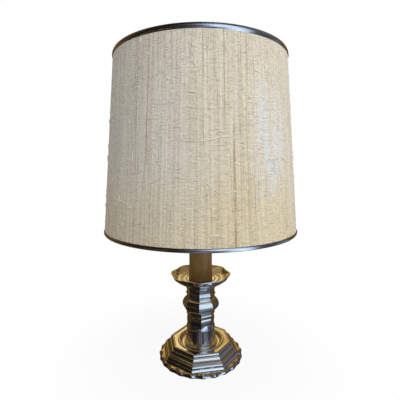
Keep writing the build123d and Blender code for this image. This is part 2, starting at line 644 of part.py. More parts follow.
def dish_half_profile():
    """The inside of the bowl: a flat floor, a soft step and a hollow side."""
    side = PAN_BODY_RADIUS - PAN_LIP_WIDTH - PAN_VALLEY_DEPTH / 2
    floor_edge = PAN_RING_RADII[-1] + 2
    Line((0, PAN_FLOOR), (floor_edge, PAN_FLOOR))
    Line((floor_edge, PAN_FLOOR), (floor_edge + QUIRK, PAN_FLOOR + QUIRK))
    ThreePointArc(
        (floor_edge + QUIRK, PAN_FLOOR + QUIRK),
        (side - 0.3 * (side - floor_edge), PAN_FLOOR + QUIRK + 0.2 * (PAN_LIP_BOTTOM - PAN_FLOOR)),
        (side, PAN_LIP_BOTTOM),
    )
    Polyline((side, PAN_LIP_BOTTOM), (0, PAN_LIP_BOTTOM), (0, PAN_FLOOR))


def pan_outline(inset):
    """Eight hollow scallops with short round lobes between their points."""
    point_radius = PAN_POINT_RADIUS - inset
    valley_radius = PAN_POINT_RADIUS - PAN_VALLEY_DEPTH - inset
    lobe_angle = 2 * HALF_SIDE_ANGLE - PAN_HOLLOW_ANGLE
    for side in range(SIDES):
        centre = -90 + UPPER_STEM_TURN + side * 2 * HALF_SIDE_ANGLE
        start = Vector(point_radius, 0).rotate(Axis.Z, centre - PAN_HOLLOW_ANGLE / 2)
        middle = Vector(valley_radius, 0).rotate(Axis.Z, centre)
        end = Vector(point_radius, 0).rotate(Axis.Z, centre + PAN_HOLLOW_ANGLE / 2)
        lobe = Vector(point_radius + QUIRK / 2, 0).rotate(Axis.Z, centre + PAN_HOLLOW_ANGLE / 2 + lobe_angle / 2)
        following = Vector(point_radius, 0).rotate(Axis.Z, centre + PAN_HOLLOW_ANGLE / 2 + lobe_angle)
        ThreePointArc(start, middle, end)
        ThreePointArc(end, lobe, following)


def pan_ring_half_profile(radius):
    """One raised ring on the pan's floor."""
    half_width = PAN_RING_RISE * 1.3
    Line((radius - half_width, PAN_FLOOR - QUIRK), (radius + half_width, PAN_FLOOR - QUIRK))
    Line((radius + half_width, PAN_FLOOR - QUIRK), (radius + half_width, PAN_FLOOR))
    ThreePointArc(
        (radius + half_width, PAN_FLOOR),
        (radius, PAN_FLOOR + PAN_RING_RISE),
        (radius - half_width, PAN_FLOOR),
    )
    Line((radius - half_width, PAN_FLOOR), (radius - half_width, PAN_FLOOR - QUIRK))


pan_bowl = turned(pan_half_profile)
pan_dish = turned(dish_half_profile)
pan_rings = [turned(lambda: pan_ring_half_profile(radius)) for radius in PAN_RING_RADII]

with BuildPart() as drip_pan:
    add(pan_bowl)
    with BuildSketch(Plane.XY.offset(PAN_LIP_BOTTOM)):
        with BuildLine():
            pan_outline(0)
        make_face()
    extrude(amount=PAN_LIP_HEIGHT)
    add(pan_dish, mode=Mode.SUBTRACT)
    with BuildSketch(Plane.XY.offset(PAN_LIP_BOTTOM)):
        with BuildLine():
            pan_outline(PAN_LIP_WIDTH)
        make_face()
    extrude(amount=PAN_LIP_HEIGHT, mode=Mode.SUBTRACT)
    for pan_ring in pan_rings:
        add(pan_ring)
    with BuildSketch(Plane.XY.offset(PAN_WELL_FLOOR)):
        Circle(PAN_WELL_RADIUS)
    extrude(amount=PAN_WELL_DEPTH, mode=Mode.SUBTRACT)
    with BuildSketch(Plane.XY.offset(PAN_BOTTOM)):
        Circle(ROD_RADIUS + ROD_CLEARANCE)
    extrude(amount=PAN_FLOOR_HEIGHT, mode=Mode.SUBTRACT)
finish(drip_pan.part, "drip_pan")


# ---- candle sleeve ------------------------------------------------------------------------------
def sleeve_half_profile():
    """A straight candle with a softly flared foot."""
    Line((SLEEVE_BORE_RADIUS, SLEEVE_BOTTOM), (SLEEVE_FOOT_RADIUS - QUIRK, SLEEVE_BOTTOM))
    ThreePointArc(
        (SLEEVE_FOOT_RADIUS - QUIRK, SLEEVE_BOTTOM),
        (SLEEVE_FOOT_RADIUS - 0.25 * QUIRK, SLEEVE_BOTTOM + 0.25 * QUIRK),
        (SLEEVE_FOOT_RADIUS, SLEEVE_BOTTOM + QUIRK),
    )
    ThreePointArc(
        (SLEEVE_FOOT_RADIUS, SLEEVE_BOTTOM + QUIRK),
        (SLEEVE_RADIUS + 0.3 * (SLEEVE_FOOT_RADIUS - SLEEVE_RADIUS), SLEEVE_BOTTOM + SLEEVE_FLARE / 2),
        (SLEEVE_RADIUS, SLEEVE_BOTTOM + SLEEVE_FLARE),
    )
    Polyline(
        (SLEEVE_RADIUS, SLEEVE_BOTTOM + SLEEVE_FLARE),
        (SLEEVE_RADIUS, SLEEVE_TOP),
        (SLEEVE_BORE_RADIUS, SLEEVE_TOP),
        (SLEEVE_BORE_RADIUS, SLEEVE_BOTTOM),
    )


finish(turned(sleeve_half_profile), "candle_sleeve")

# ---- lamp holder --------------------------------------------------------------------------------
with BuildPart() as holder_cap:
    with BuildSketch(Plane.XY.offset(HOLDER_CAP_BOTTOM)):
        Circle(HOLDER_RADIUS)
    extrude(amount=HOLDER_CAP_HEIGHT)
    chamfer(holder_cap.edges().sort_by(Axis.Z)[0], HOLDER_CAP_WALL)
    with BuildSketch(Plane.XY.offset(ROD_TOP)):
        Circle(HOLDER_RADIUS - HOLDER_CAP_WALL)
    extrude(amount=HOLDER_CAP_HEIGHT, mode=Mode.SUBTRACT)
    with BuildSketch(Plane.XY.offset(HOLDER_CAP_BOTTOM)):
        Circle(ROD_RADIUS + THREAD_FIT)
    extrude(amount=HOLDER_CAP_HEIGHT, mode=Mode.SUBTRACT)
    with BuildSketch(Plane.YZ):
        with Locations((0, HOLDER_CAP_BOTTOM + HOLDER_CAP_FLOOR / 2)):
            Circle(GRUB_RADIUS + THREAD_FIT)
    extrude(amount=HOLDER_RADIUS, mode=Mode.SUBTRACT)
finish(holder_cap.part, "holder_cap")

with BuildPart() as grub_screw:
    with BuildSketch(Plane.YZ.offset(ROD_RADIUS + THREAD_FIT)):
        with Locations((0, HOLDER_CAP_BOTTOM + HOLDER_CAP_FLOOR / 2)):
            Circle(GRUB_RADIUS)
    extrude(amount=HOLDER_RADIUS - ROD_RADIUS - HOLDER_CAP_WALL)
    with BuildSketch(Plane.YZ.offset(HOLDER_RADIUS - HOLDER_CAP_WALL)):
        with Locations((0, HOLDER_CAP_BOTTOM + HOLDER_CAP_FLOOR / 2)):
            Rectangle(GRUB_RADIUS * 3, GRUB_RADIUS / 3)
    extrude(amount=-1, mode=Mode.SUBTRACT)
finish(grub_screw.part, "grub_screw")

with BuildPart() as holder_body:
    with BuildSketch(Plane.XY.offset(HOLDER_PLAIN_BOTTOM)):
        Circle(HOLDER_RADIUS)
    extrude(amount=HOLDER_PLAIN_HEIGHT)
    with BuildSketch(Plane.XY.offset(SKIRT_BOTTOM)):
        Circle(HOLDER_SKIRT_RADIUS)
    extrude(amount=HOLDER_SKIRT)
    with BuildSketch(Plane.XY.offset(SKIRT_TOP)):
        Circle(HOLDER_THREAD_RADIUS)
    extrude(amount=HOLDER_THREAD_HEIGHT)
    chamfer(holder_body.edges().sort_by(Axis.Z)[-1], QUIRK)
    with BuildSketch(Plane.XY.offset(HOLDER_PLAIN_BOTTOM)):
        Circle(SHELL_OUTER_RADIUS + SHELL_FIT)
    extrude(amount=HOLDER_TOP - HOLDER_PLAIN_BOTTOM, mode=Mode.SUBTRACT)
    with BuildSketch(Plane.XY.offset(MOUTH_BOTTOM)):
        Circle(HOLDER_MOUTH_RADIUS)
    extrude(amount=HOLDER_MOUTH_DEPTH, mode=Mode.SUBTRACT)
finish(holder_body.part, "holder_body")

with BuildPart() as holder_insert:
    with BuildSketch(Plane.XY.offset(INSERT_BOTTOM)):
        Circle(SHELL_OUTER_RADIUS)
        with GridLocations(TERMINAL_SPACING, 0, 2, 1):
            Circle(TERMINAL_RADIUS + THREAD_FIT, mode=Mode.SUBTRACT)
    extrude(amount=INSERT_HEIGHT)
finish(holder_insert.part, "holder_insert")

with BuildPart() as terminal_screws:
    with BuildSketch(Plane.XY.offset(INSERT_BOTTOM - TERMINAL_RADIUS)):
        with GridLocations(TERMINAL_SPACING, 0, 2, 1):
            Circle(TERMINAL_RADIUS * 1.6)
            Rectangle(TERMINAL_RADIUS * 4, TERMINAL_RADIUS / 3, mode=Mode.SUBTRACT)
    extrude(amount=TERMINAL_RADIUS / 2)
    with BuildSketch(Plane.XY.offset(INSERT_BOTTOM - TERMINAL_RADIUS / 2)):
        with GridLocations(TERMINAL_SPACING, 0, 2, 1):
            Circle(TERMINAL_RADIUS * 1.6)
    extrude(amount=TERMINAL_RADIUS / 2)
    with BuildSketch(Plane.XY.offset(INSERT_BOTTOM)):
        with GridLocations(TERMINAL_SPACING, 0, 2, 1):
            Circle(TERMINAL_RADIUS)
    extrude(amount=INSERT_HEIGHT * 0.8)
finish(terminal_screws.part, "terminal_screws")

with BuildPart() as screw_shell:
    with BuildSketch(Plane.XY.offset(INSERT_TOP)):
        Circle(SHELL_OUTER_RADIUS)
        Circle(SHELL_INNER_RADIUS, mode=Mode.SUBTRACT)
    extrude(amount=SHELL_TOP - INSERT_TOP)
finish(screw_shell.part, "screw_shell")

with BuildPart() as centre_contact:
    with BuildSketch(Plane.XY.offset(INSERT_TOP)):
        SlotOverall(SHELL_INNER_RADIUS * 1.2, BULB_CONTACT_RADIUS)
    extrude(amount=CONTACT_THICKNESS)
finish(centre_contact.part, "centre_contact")


def shade_ring(bottom, bore_radius):
    """A knurled clamping ring on the thread of the lamp holder."""
    with BuildPart() as ring:
        with BuildSketch(Plane.XY.offset(bottom)):
            Circle(SHADE_RING_RADIUS)
            Circle(bore_radius, mode=Mode.SUBTRACT)
            with PolarLocations(SHADE_RING_RADIUS, SHADE_RING_NOTCHES):
                Circle(SHADE_RING_THICKNESS / 2, mode=Mode.SUBTRACT)
        extrude(amount=SHADE_RING_THICKNESS)
    return ring.part


finish(shade_ring(LOWER_RING_BOTTOM, HOLDER_THREAD_RADIUS + THREAD_FIT), "lower_shade_ring")
finish(shade_ring(UPPER_RING_BOTTOM, HOLDER_THREAD_RADIUS + SHADE_RING_FIT), "upper_shade_ring")


# ---- shade --------------------------------------------------------------------------------------
def shade_radius(height, inset):
    """Radius of the shade's side at a height above its lower edge, this far in from its outside."""
    return SHADE_BOTTOM_RADIUS - SHADE_SLOPE * height - inset


def skin(outer_inset, thickness):
    """One conical layer of the shade, between the folded edges of its trims."""
    low, high = TRIM_FOIL, SHADE_HEIGHT - TRIM_FOIL
    with BuildPart() as layer:
        with BuildSketch(Plane.XZ):
            with BuildLine():
                Polyline(
                    (shade_radius(low, outer_inset), SHADE_BOTTOM + low),
                    (shade_radius(high, outer_inset), SHADE_BOTTOM + high),
                    (shade_radius(high, outer_inset + thickness), SHADE_BOTTOM + high),
                    (shade_radius(low, outer_inset + thickness), SHADE_BOTTOM + low),
                    close=True,
                )
            make_face()
        revolve(axis=Axis.Z)
    return layer.part


FABRIC_INSET = TRIM_THICKNESS
LINING_INSET = FABRIC_INSET + FABRIC_THICKNESS
INNER_INSET = LINING_INSET + LINING_THICKNESS


def trim(edge, height, towards):
    """A half-round metal band that folds over one edge of the shade."""
    fold = edge + towards * TRIM_FOIL
    far = edge + towards * height
    back = edge + towards * TRIM_RETURN
    with BuildPart() as band:
        with BuildSketch(Plane.XZ):
            with BuildLine():
                Line(
                    (shade_radius(fold, FABRIC_INSET), SHADE_BOTTOM + fold),
                    (shade_radius(far, FABRIC_INSET), SHADE_BOTTOM + far),
                )
                ThreePointArc(
                    (shade_radius(far, FABRIC_INSET), SHADE_BOTTOM + far),
                    (shade_radius(edge + towards * height / 2, 0), SHADE_BOTTOM + edge + towards * height / 2),
                    (shade_radius(edge, FABRIC_INSET), SHADE_BOTTOM + edge),
                )
                Polyline(
                    (shade_radius(edge, FABRIC_INSET), SHADE_BOTTOM + edge),
                    (shade_radius(edge, INNER_INSET + TRIM_FOIL), SHADE_BOTTOM + edge),
                    (shade_radius(back, INNER_INSET + TRIM_FOIL), SHADE_BOTTOM + back),
                    (shade_radius(back, INNER_INSET), SHADE_BOTTOM + back),
                    (shade_radius(fold, INNER_INSET), SHADE_BOTTOM + fold),
                    (shade_radius(fold, FABRIC_INSET), SHADE_BOTTOM + fold),
                )
            make_face()
        revolve(axis=Axis.Z)
    return band.part


def wire_ring_radius(height):
    """Centre-line radius of a ring wire that lies against the lining."""
    return shade_radius(height, INNER_INSET) - (WIRE_RADIUS + WIRE_FIT) / cos(atan2(SHADE_SLOPE, 1))


def wire_ring(height):
    """One ring of round wire inside the shade."""
    with BuildPart() as ring:
        with BuildSketch(Plane.XZ):
            with Locations((wire_ring_radius(height), SHADE_BOTTOM + height)):
                Circle(WIRE_RADIUS)
        revolve(axis=Axis.Z)
    return ring.part


finish(skin(FABRIC_INSET, FABRIC_THICKNESS), "shade_fabric")
finish(skin(LINING_INSET, LINING_THICKNESS), "shade_lining")
finish(trim(SHADE_HEIGHT, TOP_TRIM_HEIGHT, -1), "top_trim")
finish(trim(0, BOTTOM_TRIM_HEIGHT, 1), "bottom_trim")
finish(wire_ring(SHADE_HEIGHT - WIRE_INSET), "top_wire_ring")

bottom_ring = wire_ring(WIRE_INSET)
carrier_middle = (CARRIER_BOTTOM + CARRIER_TOP) / 2
arm_start = CARRIER_RADIUS - WIRE_RADIUS

with BuildPart() as shade_carrier:
    with BuildSketch(Plane.XY.offset(CARRIER_BOTTOM)):
        Circle(CARRIER_RADIUS)
        Circle(HOLDER_THREAD_RADIUS + CARRIER_BORE_FIT, mode=Mode.SUBTRACT)
    extrude(amount=CARRIER_THICKNESS)
    add(bottom_ring)
    for arm in range(ARM_COUNT):
        arm_plane = Plane.XZ.rotated((0, 0, 90 + arm * 360 / ARM_COUNT))
        with BuildLine(arm_plane) as arm_line:
            FilletPolyline(
                (arm_start, carrier_middle),
                (arm_start + ARM_LEVEL_LENGTH, carrier_middle),
                (wire_ring_radius(WIRE_INSET), SHADE_BOTTOM + WIRE_INSET),
                radius=ARM_BEND_RADIUS,
            )
        with BuildSketch(Plane(origin=arm_line.line @ 0, z_dir=arm_line.line % 0)):
            Circle(WIRE_RADIUS)
        sweep(path=arm_line.line)
finish(shade_carrier.part, "shade_carrier")


# ---- bulb ---------------------------------------------------------------------------------------
def bulb_half_profile(wall):
    """A pear-shaped envelope; the wall is how far this surface lies inside the outside of the glass."""
    centre = BULB_TOP - BULB_RADIUS
    radius = BULB_RADIUS - wall
    shoulder_angle = radians(35)
    shoulder = (radius * cos(shoulder_angle), centre - radius * sin(shoulder_angle))
    neck = (BULB_NECK_RADIUS - wall, BULB_CAP_TOP)
    Line((0, BULB_CAP_TOP), neck)
    TangentArc(shoulder, neck, tangent=(-sin(shoulder_angle), -cos(shoulder_angle)))
    ThreePointArc(shoulder, (radius, centre), (0, centre + radius))
    Line((0, centre + radius), (0, BULB_CAP_TOP))


glass_outside = turned(lambda: bulb_half_profile(0))
glass_inside = turned(lambda: bulb_half_profile(BULB_GLASS_WALL))
with BuildPart() as bulb_glass:
    add(glass_outside)
    add(glass_inside, mode=Mode.SUBTRACT)
finish(bulb_glass.part, "bulb_glass")


def cap_half_profile():
    """The screw cap: a closed top, round thread waves and a plain collar at each end."""
    turns = int((BULB_CAP_HEIGHT - BULB_THREAD_PITCH) / BULB_THREAD_PITCH)
    start = BULB_CAP_BOTTOM + (BULB_CAP_HEIGHT - turns * BULB_THREAD_PITCH) / 2
    root = BULB_CAP_RADIUS - BULB_THREAD_DEPTH
    Polyline((0, BULB_CAP_BOTTOM), (root, BULB_CAP_BOTTOM), (root, start))
    for turn in range(turns):
        low = start + turn * BULB_THREAD_PITCH
        ThreePointArc(
            (root, low),
            (BULB_CAP_RADIUS, low + BULB_THREAD_PITCH / 2),
            (root, low + BULB_THREAD_PITCH),
        )
    Polyline((root, start + turns * BULB_THREAD_PITCH), (root, BULB_CAP_TOP), (0, BULB_CAP_TOP), (0, BULB_CAP_BOTTOM))


finish(turned(cap_half_profile), "bulb_cap")

with BuildPart() as bulb_insulator:
    with BuildSketch(Plane.XY.offset(BULB_CAP_BOTTOM)):
        Circle(BULB_CAP_RADIUS - BULB_THREAD_DEPTH)
    extrude(amount=-(BULB_TIP_HEIGHT - 1), taper=30)
finish(bulb_insulator.part, "bulb_insulator")

with BuildPart() as bulb_contact:
    with BuildSketch(Plane.XY.offset(BULB_BOTTOM + 1)):
        Circle(BULB_CONTACT_RADIUS)
    extrude(amount=-1, taper=20)
finish(bulb_contact.part, "bulb_contact")
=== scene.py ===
"""Looks of the candlestick table lamp: an add-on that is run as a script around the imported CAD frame.

Sizes in the profiles are millimetres, as in the part's source, and meshes are made in metres.
"""
import json
from collections import namedtuple
from math import atan, atan2, cos, hypot, pi, radians, sin

import bmesh
import bpy
from bpy.props import FloatProperty, FloatVectorProperty, IntProperty, PointerProperty
from bpy.types import Operator, Panel, PropertyGroup
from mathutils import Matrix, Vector

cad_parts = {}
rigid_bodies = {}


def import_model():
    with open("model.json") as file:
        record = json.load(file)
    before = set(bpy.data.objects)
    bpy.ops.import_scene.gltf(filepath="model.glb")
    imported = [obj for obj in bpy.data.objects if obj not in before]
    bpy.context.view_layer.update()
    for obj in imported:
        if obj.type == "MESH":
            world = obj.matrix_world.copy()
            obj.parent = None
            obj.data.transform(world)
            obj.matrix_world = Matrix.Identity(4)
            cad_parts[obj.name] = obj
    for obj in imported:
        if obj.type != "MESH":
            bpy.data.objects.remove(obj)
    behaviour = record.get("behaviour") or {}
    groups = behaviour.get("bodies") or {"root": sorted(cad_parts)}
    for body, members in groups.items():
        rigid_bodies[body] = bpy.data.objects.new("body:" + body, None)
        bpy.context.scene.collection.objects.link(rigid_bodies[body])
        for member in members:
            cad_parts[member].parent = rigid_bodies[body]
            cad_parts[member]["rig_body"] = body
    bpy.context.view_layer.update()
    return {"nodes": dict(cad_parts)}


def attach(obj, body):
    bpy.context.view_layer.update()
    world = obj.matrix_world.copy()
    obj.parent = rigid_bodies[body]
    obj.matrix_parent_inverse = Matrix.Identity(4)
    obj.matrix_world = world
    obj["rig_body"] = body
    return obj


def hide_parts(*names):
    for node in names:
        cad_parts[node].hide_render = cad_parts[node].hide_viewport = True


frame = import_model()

bl_info = {
    "name": "Candlestick lamp",
    "version": (1, 0, 0),
    "blender": (4, 5, 0),
    "location": "3D View > Sidebar > Candlestick lamp",
    "description": "Dresses the packed lamp: castings, candle sleeve, holder, silk shade and bulb",
    "category": "Object",
}

MM = 0.001
SIDES = 8
SIDE_ANGLE = 2 * pi / SIDES
MITRE_POWER = 420              # sharpness of the corners between two flats
MITRE_ANGLES = (radians(0.3), radians(0.8))     # extra vertices this far from a mitre
SHARP_ANGLE = radians(48)
SOFTENED_ANGLE = radians(20)   # smaller turns of a profile stay as they are
BEVEL_ANGLE = radians(35)
FLAT_ANGLE = radians(1)
ARC_STEPS = 7
CORNER_STEPS = 3
CORNER_SHARE = 0.45            # a rounded corner takes at most this share of a line
SHORTEST = 1e-6                # a line of a profile shorter than this is none, in millimetres
FACE_WEIGHT = 60
CUTTER_SEGMENTS = 64
MERGE = 1e-6                   # vertices closer than this are one, in metres
CAD_MERGE = 2e-6

# ---- where the castings stand, in millimetres ---------------------------------------------------
RIM_BOTTOM = 0.5
COVER_SEAT = 3.2
COVER_RECESS_RADIUS = 63.65
BASE_CEILING = 17.94
WELL_FLOOR = 20.94
LOWER_STEM_BOTTOM = 50.44
UPPER_STEM_BOTTOM = 76.64
PAN_BOTTOM = 116.14
SLEEVE_BOTTOM = 129.84
LOWER_STEM_TURN = 14.8
UPPER_STEM_TURN = 7.8
ROD_HOLE = 5.3
INLET_HEIGHT = 10.6
INLET_SEAT = 54.2
INLET_RADIUS = 4.25
INLET_SEAT_RADIUS = 5.05
CUTTER_START, CUTTER_END = 45.0, 75.0
CASTING_WALL = 3.0
THREAD_ROOT = 18.55

# ---- shade, in millimetres ----------------------------------------------------------------------
SHADE_BOTTOM = 214.14
SHADE_HEIGHT = 260.0
SHADE_BOTTOM_RADIUS = 150.0
SHADE_TOP_RADIUS = 130.0
SHADE_SLOPE = (SHADE_BOTTOM_RADIUS - SHADE_TOP_RADIUS) / SHADE_HEIGHT
TRIM_FOIL = 0.5
CLOTH_INSET = 1.2
CLOTH_THICKNESS = 0.6
LINING_THICKNESS = 0.5
LAP_STEP = 0.7
CLOTH_UV_RADIUS = 140.0        # the cloth's UV map counts millimetres round the shade at this radius

# ---- the room in the plate's reflections --------------------------------------------------------
# Its colours, and at each level the headings in degrees from the front towards +X where they stand.
ROOM_TONES = {
    "black": (0.008, 0.007, 0.007), "soot": (0.024, 0.019, 0.015), "umber": (0.060, 0.036, 0.017),
    "brown": (0.15, 0.090, 0.034), "amber": (0.33, 0.19, 0.050), "gold": (0.62, 0.38, 0.105),
    "cream": (1.25, 0.98, 0.52), "lavender": (0.19, 0.18, 0.25), "plum": (0.085, 0.060, 0.064),
    "steel": (0.17, 0.205, 0.28), "slate": (0.045, 0.050, 0.065), "window": (0.50, 0.74, 1.10),
    "sky": (1.00, 1.18, 1.35),
}
ROOM_TABLE = (
    (-179, "brown"), (-140, "umber"), (-100, "umber"), (-74, "soot"), (-56, "black"), (-40, "soot"),
    (-30, "plum"), (-24, "black"), (-17, "lavender"), (-12, "slate"), (-6, "lavender"), (1, "plum"),
    (5, "black"), (9, "slate"), (14, "lavender"), (20, "steel"), (27, "slate"), (34, "steel"), (44, "plum"),
    (56, "slate"), (70, "plum"), (84, "slate"), (96, "steel"), (108, "slate"), (118, "umber"), (134, "brown"),
    (179, "brown"),
)
ROOM_FAR_TABLE = (
    (-179, "brown"), (-120, "umber"), (-74, "soot"), (-50, "umber"), (-36, "black"), (-20, "slate"),
    (-6, "lavender"), (4, "slate"), (12, "steel"), (19, "window"), (34, "sky"), (44, "window"), (52, "plum"),
    (70, "slate"), (90, "steel"), (106, "slate"), (118, "brown"), (150, "umber"), (179, "brown"),
)
ROOM_WALLS = (
    (-179, "gold"), (-172, "gold"), (-164, "amber"), (-152, "umber"), (-138, "brown"), (-108, "umber"),
    (-92, "black"), (-40, "soot"), (-28, "soot"), (-9, "slate"), (-4, "steel"), (3, "window"), (11, "sky"),
    (17, "window"), (24, "sky"), (46, "window"), (54, "slate"), (66, "slate"), (84, "slate"), (95, "steel"),
    (103, "umber"), (112, "brown"), (126, "brown"), (142, "umber"), (150, "gold"), (158, "brown"),
    (164, "gold"), (169, "cream"), (174, "amber"), (179, "gold"),
)
ROOM_UPPER = (
    (-179, "gold"), (-170, "gold"), (-162, "amber"), (-146, "brown"), (-126, "umber"), (-104, "umber"),
    (-92, "soot"), (-84, "black"), (-50, "black"), (-30, "umber"), (-14, "steel"), (-4, "window"),
    (16, "sky"), (40, "window"), (52, "steel"), (70, "slate"), (84, "steel"), (97, "slate"), (108, "brown"),
    (124, "amber"), (142, "brown"), (152, "gold"), (160, "amber"), (166, "gold"), (173, "cream"),
    (179, "gold"),
)
ROOM_CEILING = (
    (-179, "brown"), (-150, "umber"), (-120, "brown"), (-96, "soot"), (-60, "black"), (-20, "soot"),
    (6, "slate"), (20, "steel"), (34, "slate"), (70, "slate"), (96, "steel"), (108, "umber"),
    (126, "brown"), (150, "umber"), (179, "brown"),
)


# =================================================================================================
# Meshes
# =================================================================================================
Station = namedtuple("Station", "flat round height lobe recess")


def flats(points):
    """Stations of an eight-sided moulding; the reach is from the axis to a flat."""
    return [Station(reach, 0.0, height, 0.0, 0.0) for reach, height in points]


def rounds(points, collar_on=0.0):
    """Stations of a round moulding, or of a round collar on an eight-sided stem."""
    return [Station(collar_on, reach, height, 0.0, 0.0) for reach, height in points]


def lobed(points, share=1.0):
    """Stations of a scalloped rim; the share is how far the scallops cut in there."""
    return [Station(0.0, reach, height, share, 0.0) for reach, height in points]


def walk(start, *steps):
    """Follow a moulding: a step is a run outwards, a rise, and the bulge of an arc over its chord."""
    points = [start]
    for run, rise, bulge in steps:
        x, z = points[-1]
        if not bulge:
            points.append((x + run, z + rise))
            continue
        half_sweep = 2 * atan(2 * bulge)
        for step in range(1, ARC_STEPS + 1):
            angle = half_sweep * (2 * step / ARC_STEPS - 1)
            along = (1 + sin(angle) / sin(half_sweep)) / 2
            out = (cos(angle) - cos(half_sweep)) / sin(half_sweep) / 2
            points.append((x + run * along + rise * out, z + rise * along - run * out))
    return points


def reach_of(station):
    """How far a station stands from the axis."""
    return max(station.flat, station.round)


def soften(stations, radius):
    """Round the corners of a closed profile a little, and mark its hollow corners as recesses."""
    softened = []
    for index, corner in enumerate(stations):
        before, after = stations[index - 1], stations[(index + 1) % len(stations)]
        into = Vector((reach_of(corner) - reach_of(before), corner.height - before.height))
        away = Vector((reach_of(after) - reach_of(corner), after.height - corner.height))
        turn = atan2(into.x * away.y - into.y * away.x, into.dot(away))
        if min(into.length, away.length) < SHORTEST or abs(turn) < SOFTENED_ANGLE:
            softened.append(corner)
            continue
        recess = 1.0 if turn < 0 else 0.0
        back = min(radius / into.length, CORNER_SHARE)
        ahead = min(radius / away.length, CORNER_SHARE)
        for step in range(CORNER_STEPS + 1):
            t = step / CORNER_STEPS
            weights = (back * (1 - t) ** 2, ahead * t**2)
            values = [
                p * weights[0] + c * (1 - sum(weights)) + n * weights[1]
                for p, c, n in zip(before[:4], corner[:4], after[:4])
            ]
            softened.append(Station(*values, recess))
    return softened


def scallop(angle, turn, count, span, depth, crest):
    """How far a scalloped rim stands out or in at an angle: hollows of this span between short crests."""
    pitch = 2 * pi / count
    local = abs((angle - turn + pitch / 2) % pitch - pitch / 2)
    if 2 * local <= span:
        return -depth * (1 - (2 * local / span) ** 2)
    return crest * (1 - ((pitch / 2 - local) / (pitch / 2 - span / 2)) ** 2)


def column_angles(per_side, turn):
    """Directions of a casting's vertices, closer together at the mitres."""
    side = [*MITRE_ANGLES, *(SIDE_ANGLE * k / per_side for k in range(1, per_side))]
    side += [*(SIDE_ANGLE - angle for angle in reversed(MITRE_ANGLES)), SIDE_ANGLE]
    start = turn - SIDE_ANGLE / 2
    return [start + number * SIDE_ANGLE + angle for number in range(SIDES) for angle in side]


def loft(name, stations, per_side=12, turn=0.0, rim=None, softness=0.35):
    """A closed profile carried round the axis, eight-sided, round or scalloped at each station."""
    profile = soften(stations, softness)
    angles = column_angles(per_side, turn)
    mesh = bmesh.new()
    recess_layer = mesh.verts.layers.float.new("recess")
    rings = []
    for station in profile:
        ring = []
        for angle in angles:
            reach = station.round
            if station.flat:
                local = (angle - turn + SIDE_ANGLE / 2) % SIDE_ANGLE - SIDE_ANGLE / 2
                power = cos(local) ** MITRE_POWER + cos(SIDE_ANGLE - abs(local)) ** MITRE_POWER
                reach = max(reach, station.flat / power ** (1 / MITRE_POWER))
            if station.lobe and rim:
                reach += station.lobe * rim(angle)
            vertex = mesh.verts.new((reach * cos(angle) * MM, reach * sin(angle) * MM, station.height * MM))
            vertex[recess_layer] = station.recess
            ring.append(vertex)
        rings.append(ring)
    for index, ring in enumerate(rings):
        above = rings[(index + 1) % len(rings)]
        for column in range(len(angles)):
            other = (column + 1) % len(angles)
            mesh.faces.new((ring[column], ring[other], above[other], above[column]))
    return finished_mesh(name, mesh)


def finished_mesh(name, mesh):
    """Merge, face outwards and smooth a bmesh, and put it in the scene."""
    bmesh.ops.remove_doubles(mesh, verts=mesh.verts, dist=MERGE)
    bmesh.ops.recalc_face_normals(mesh, faces=mesh.faces)
    data = bpy.data.meshes.new(name)
    mesh.to_mesh(data)
    mesh.free()
    data.shade_smooth()
    data.set_sharp_from_angle(angle=SHARP_ANGLE)
    piece = bpy.data.objects.new(name, data)
    bpy.context.scene.collection.objects.link(piece)
    return piece


def weigh_normals(piece):
    """Keep broad faces flat and let the narrow rounded edges carry the turn."""
    modifier = piece.modifiers.new("weighted_normals", "WEIGHTED_NORMAL")
    modifier.mode = "FACE_AREA"
    modifier.weight = FACE_WEIGHT
    modifier.keep_sharp = True


def dowel(name, radius, height, start, end):
    """A cutter along +Y between two distances from the axis."""
    mesh = bmesh.new()
    bmesh.ops.create_cone(mesh, cap_ends=True, segments=CUTTER_SEGMENTS, radius1=radius * MM,
                          radius2=radius * MM, depth=(end - start) * MM)
    for vertex in mesh.verts:
        x, y, z = vertex.co
        vertex.co = (x, z + (start + end) / 2 * MM, -y + height * MM)
    return finished_mesh(name, mesh)


def bake_modifiers(piece):
    """Turn a piece with modifiers into a plain mesh."""
    evaluated = piece.evaluated_get(bpy.context.evaluated_depsgraph_get())
    data = bpy.data.meshes.new_from_object(evaluated)
    piece.modifiers.clear()
    piece.data = data
    data.name = piece.name
    return piece


def merged_copy(name, node, bevel=0.0):
    """A welded copy of a CAD node's mesh, with its edges a little rounded."""
    mesh = bmesh.new()
    mesh.from_mesh(frame["nodes"][node].data)
    bmesh.ops.remove_doubles(mesh, verts=mesh.verts, dist=CAD_MERGE)
    bmesh.ops.dissolve_limit(mesh, angle_limit=FLAT_ANGLE, verts=mesh.verts, edges=mesh.edges)
    piece = finished_mesh(name, mesh)
    if bevel:
        modifier = piece.modifiers.new("rounded_edges", "BEVEL")
        modifier.width = bevel * MM
        modifier.segments = 2
        modifier.limit_method = "ANGLE"
        modifier.angle_limit = BEVEL_ANGLE
    weigh_normals(piece)
    return piece


def install(piece, material, slot, *nodes):
    """Give a piece its material, let it ride with its CAD nodes' body and stand for them."""
    piece.data.materials.clear()
    piece.data.materials.append(material)
    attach(piece, frame["nodes"][nodes[0]]["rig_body"])
    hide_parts(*nodes)
    return piece


def cast(name, node, stations, material, slot, *form):
    """A casting that stands for a CAD node; its form is as in loft."""
    piece = loft(name, stations, *form)
    weigh_normals(piece)
    return install(piece, material, slot, node)


def paint_nodes(material, *nodes):
    """Give CAD nodes whose shape is right their finish."""
    for name in nodes:
        node = frame["nodes"][name]
        if not node.material_slots:
            node.data.materials.append(material)
        for slot in node.material_slots:
            slot.material = material


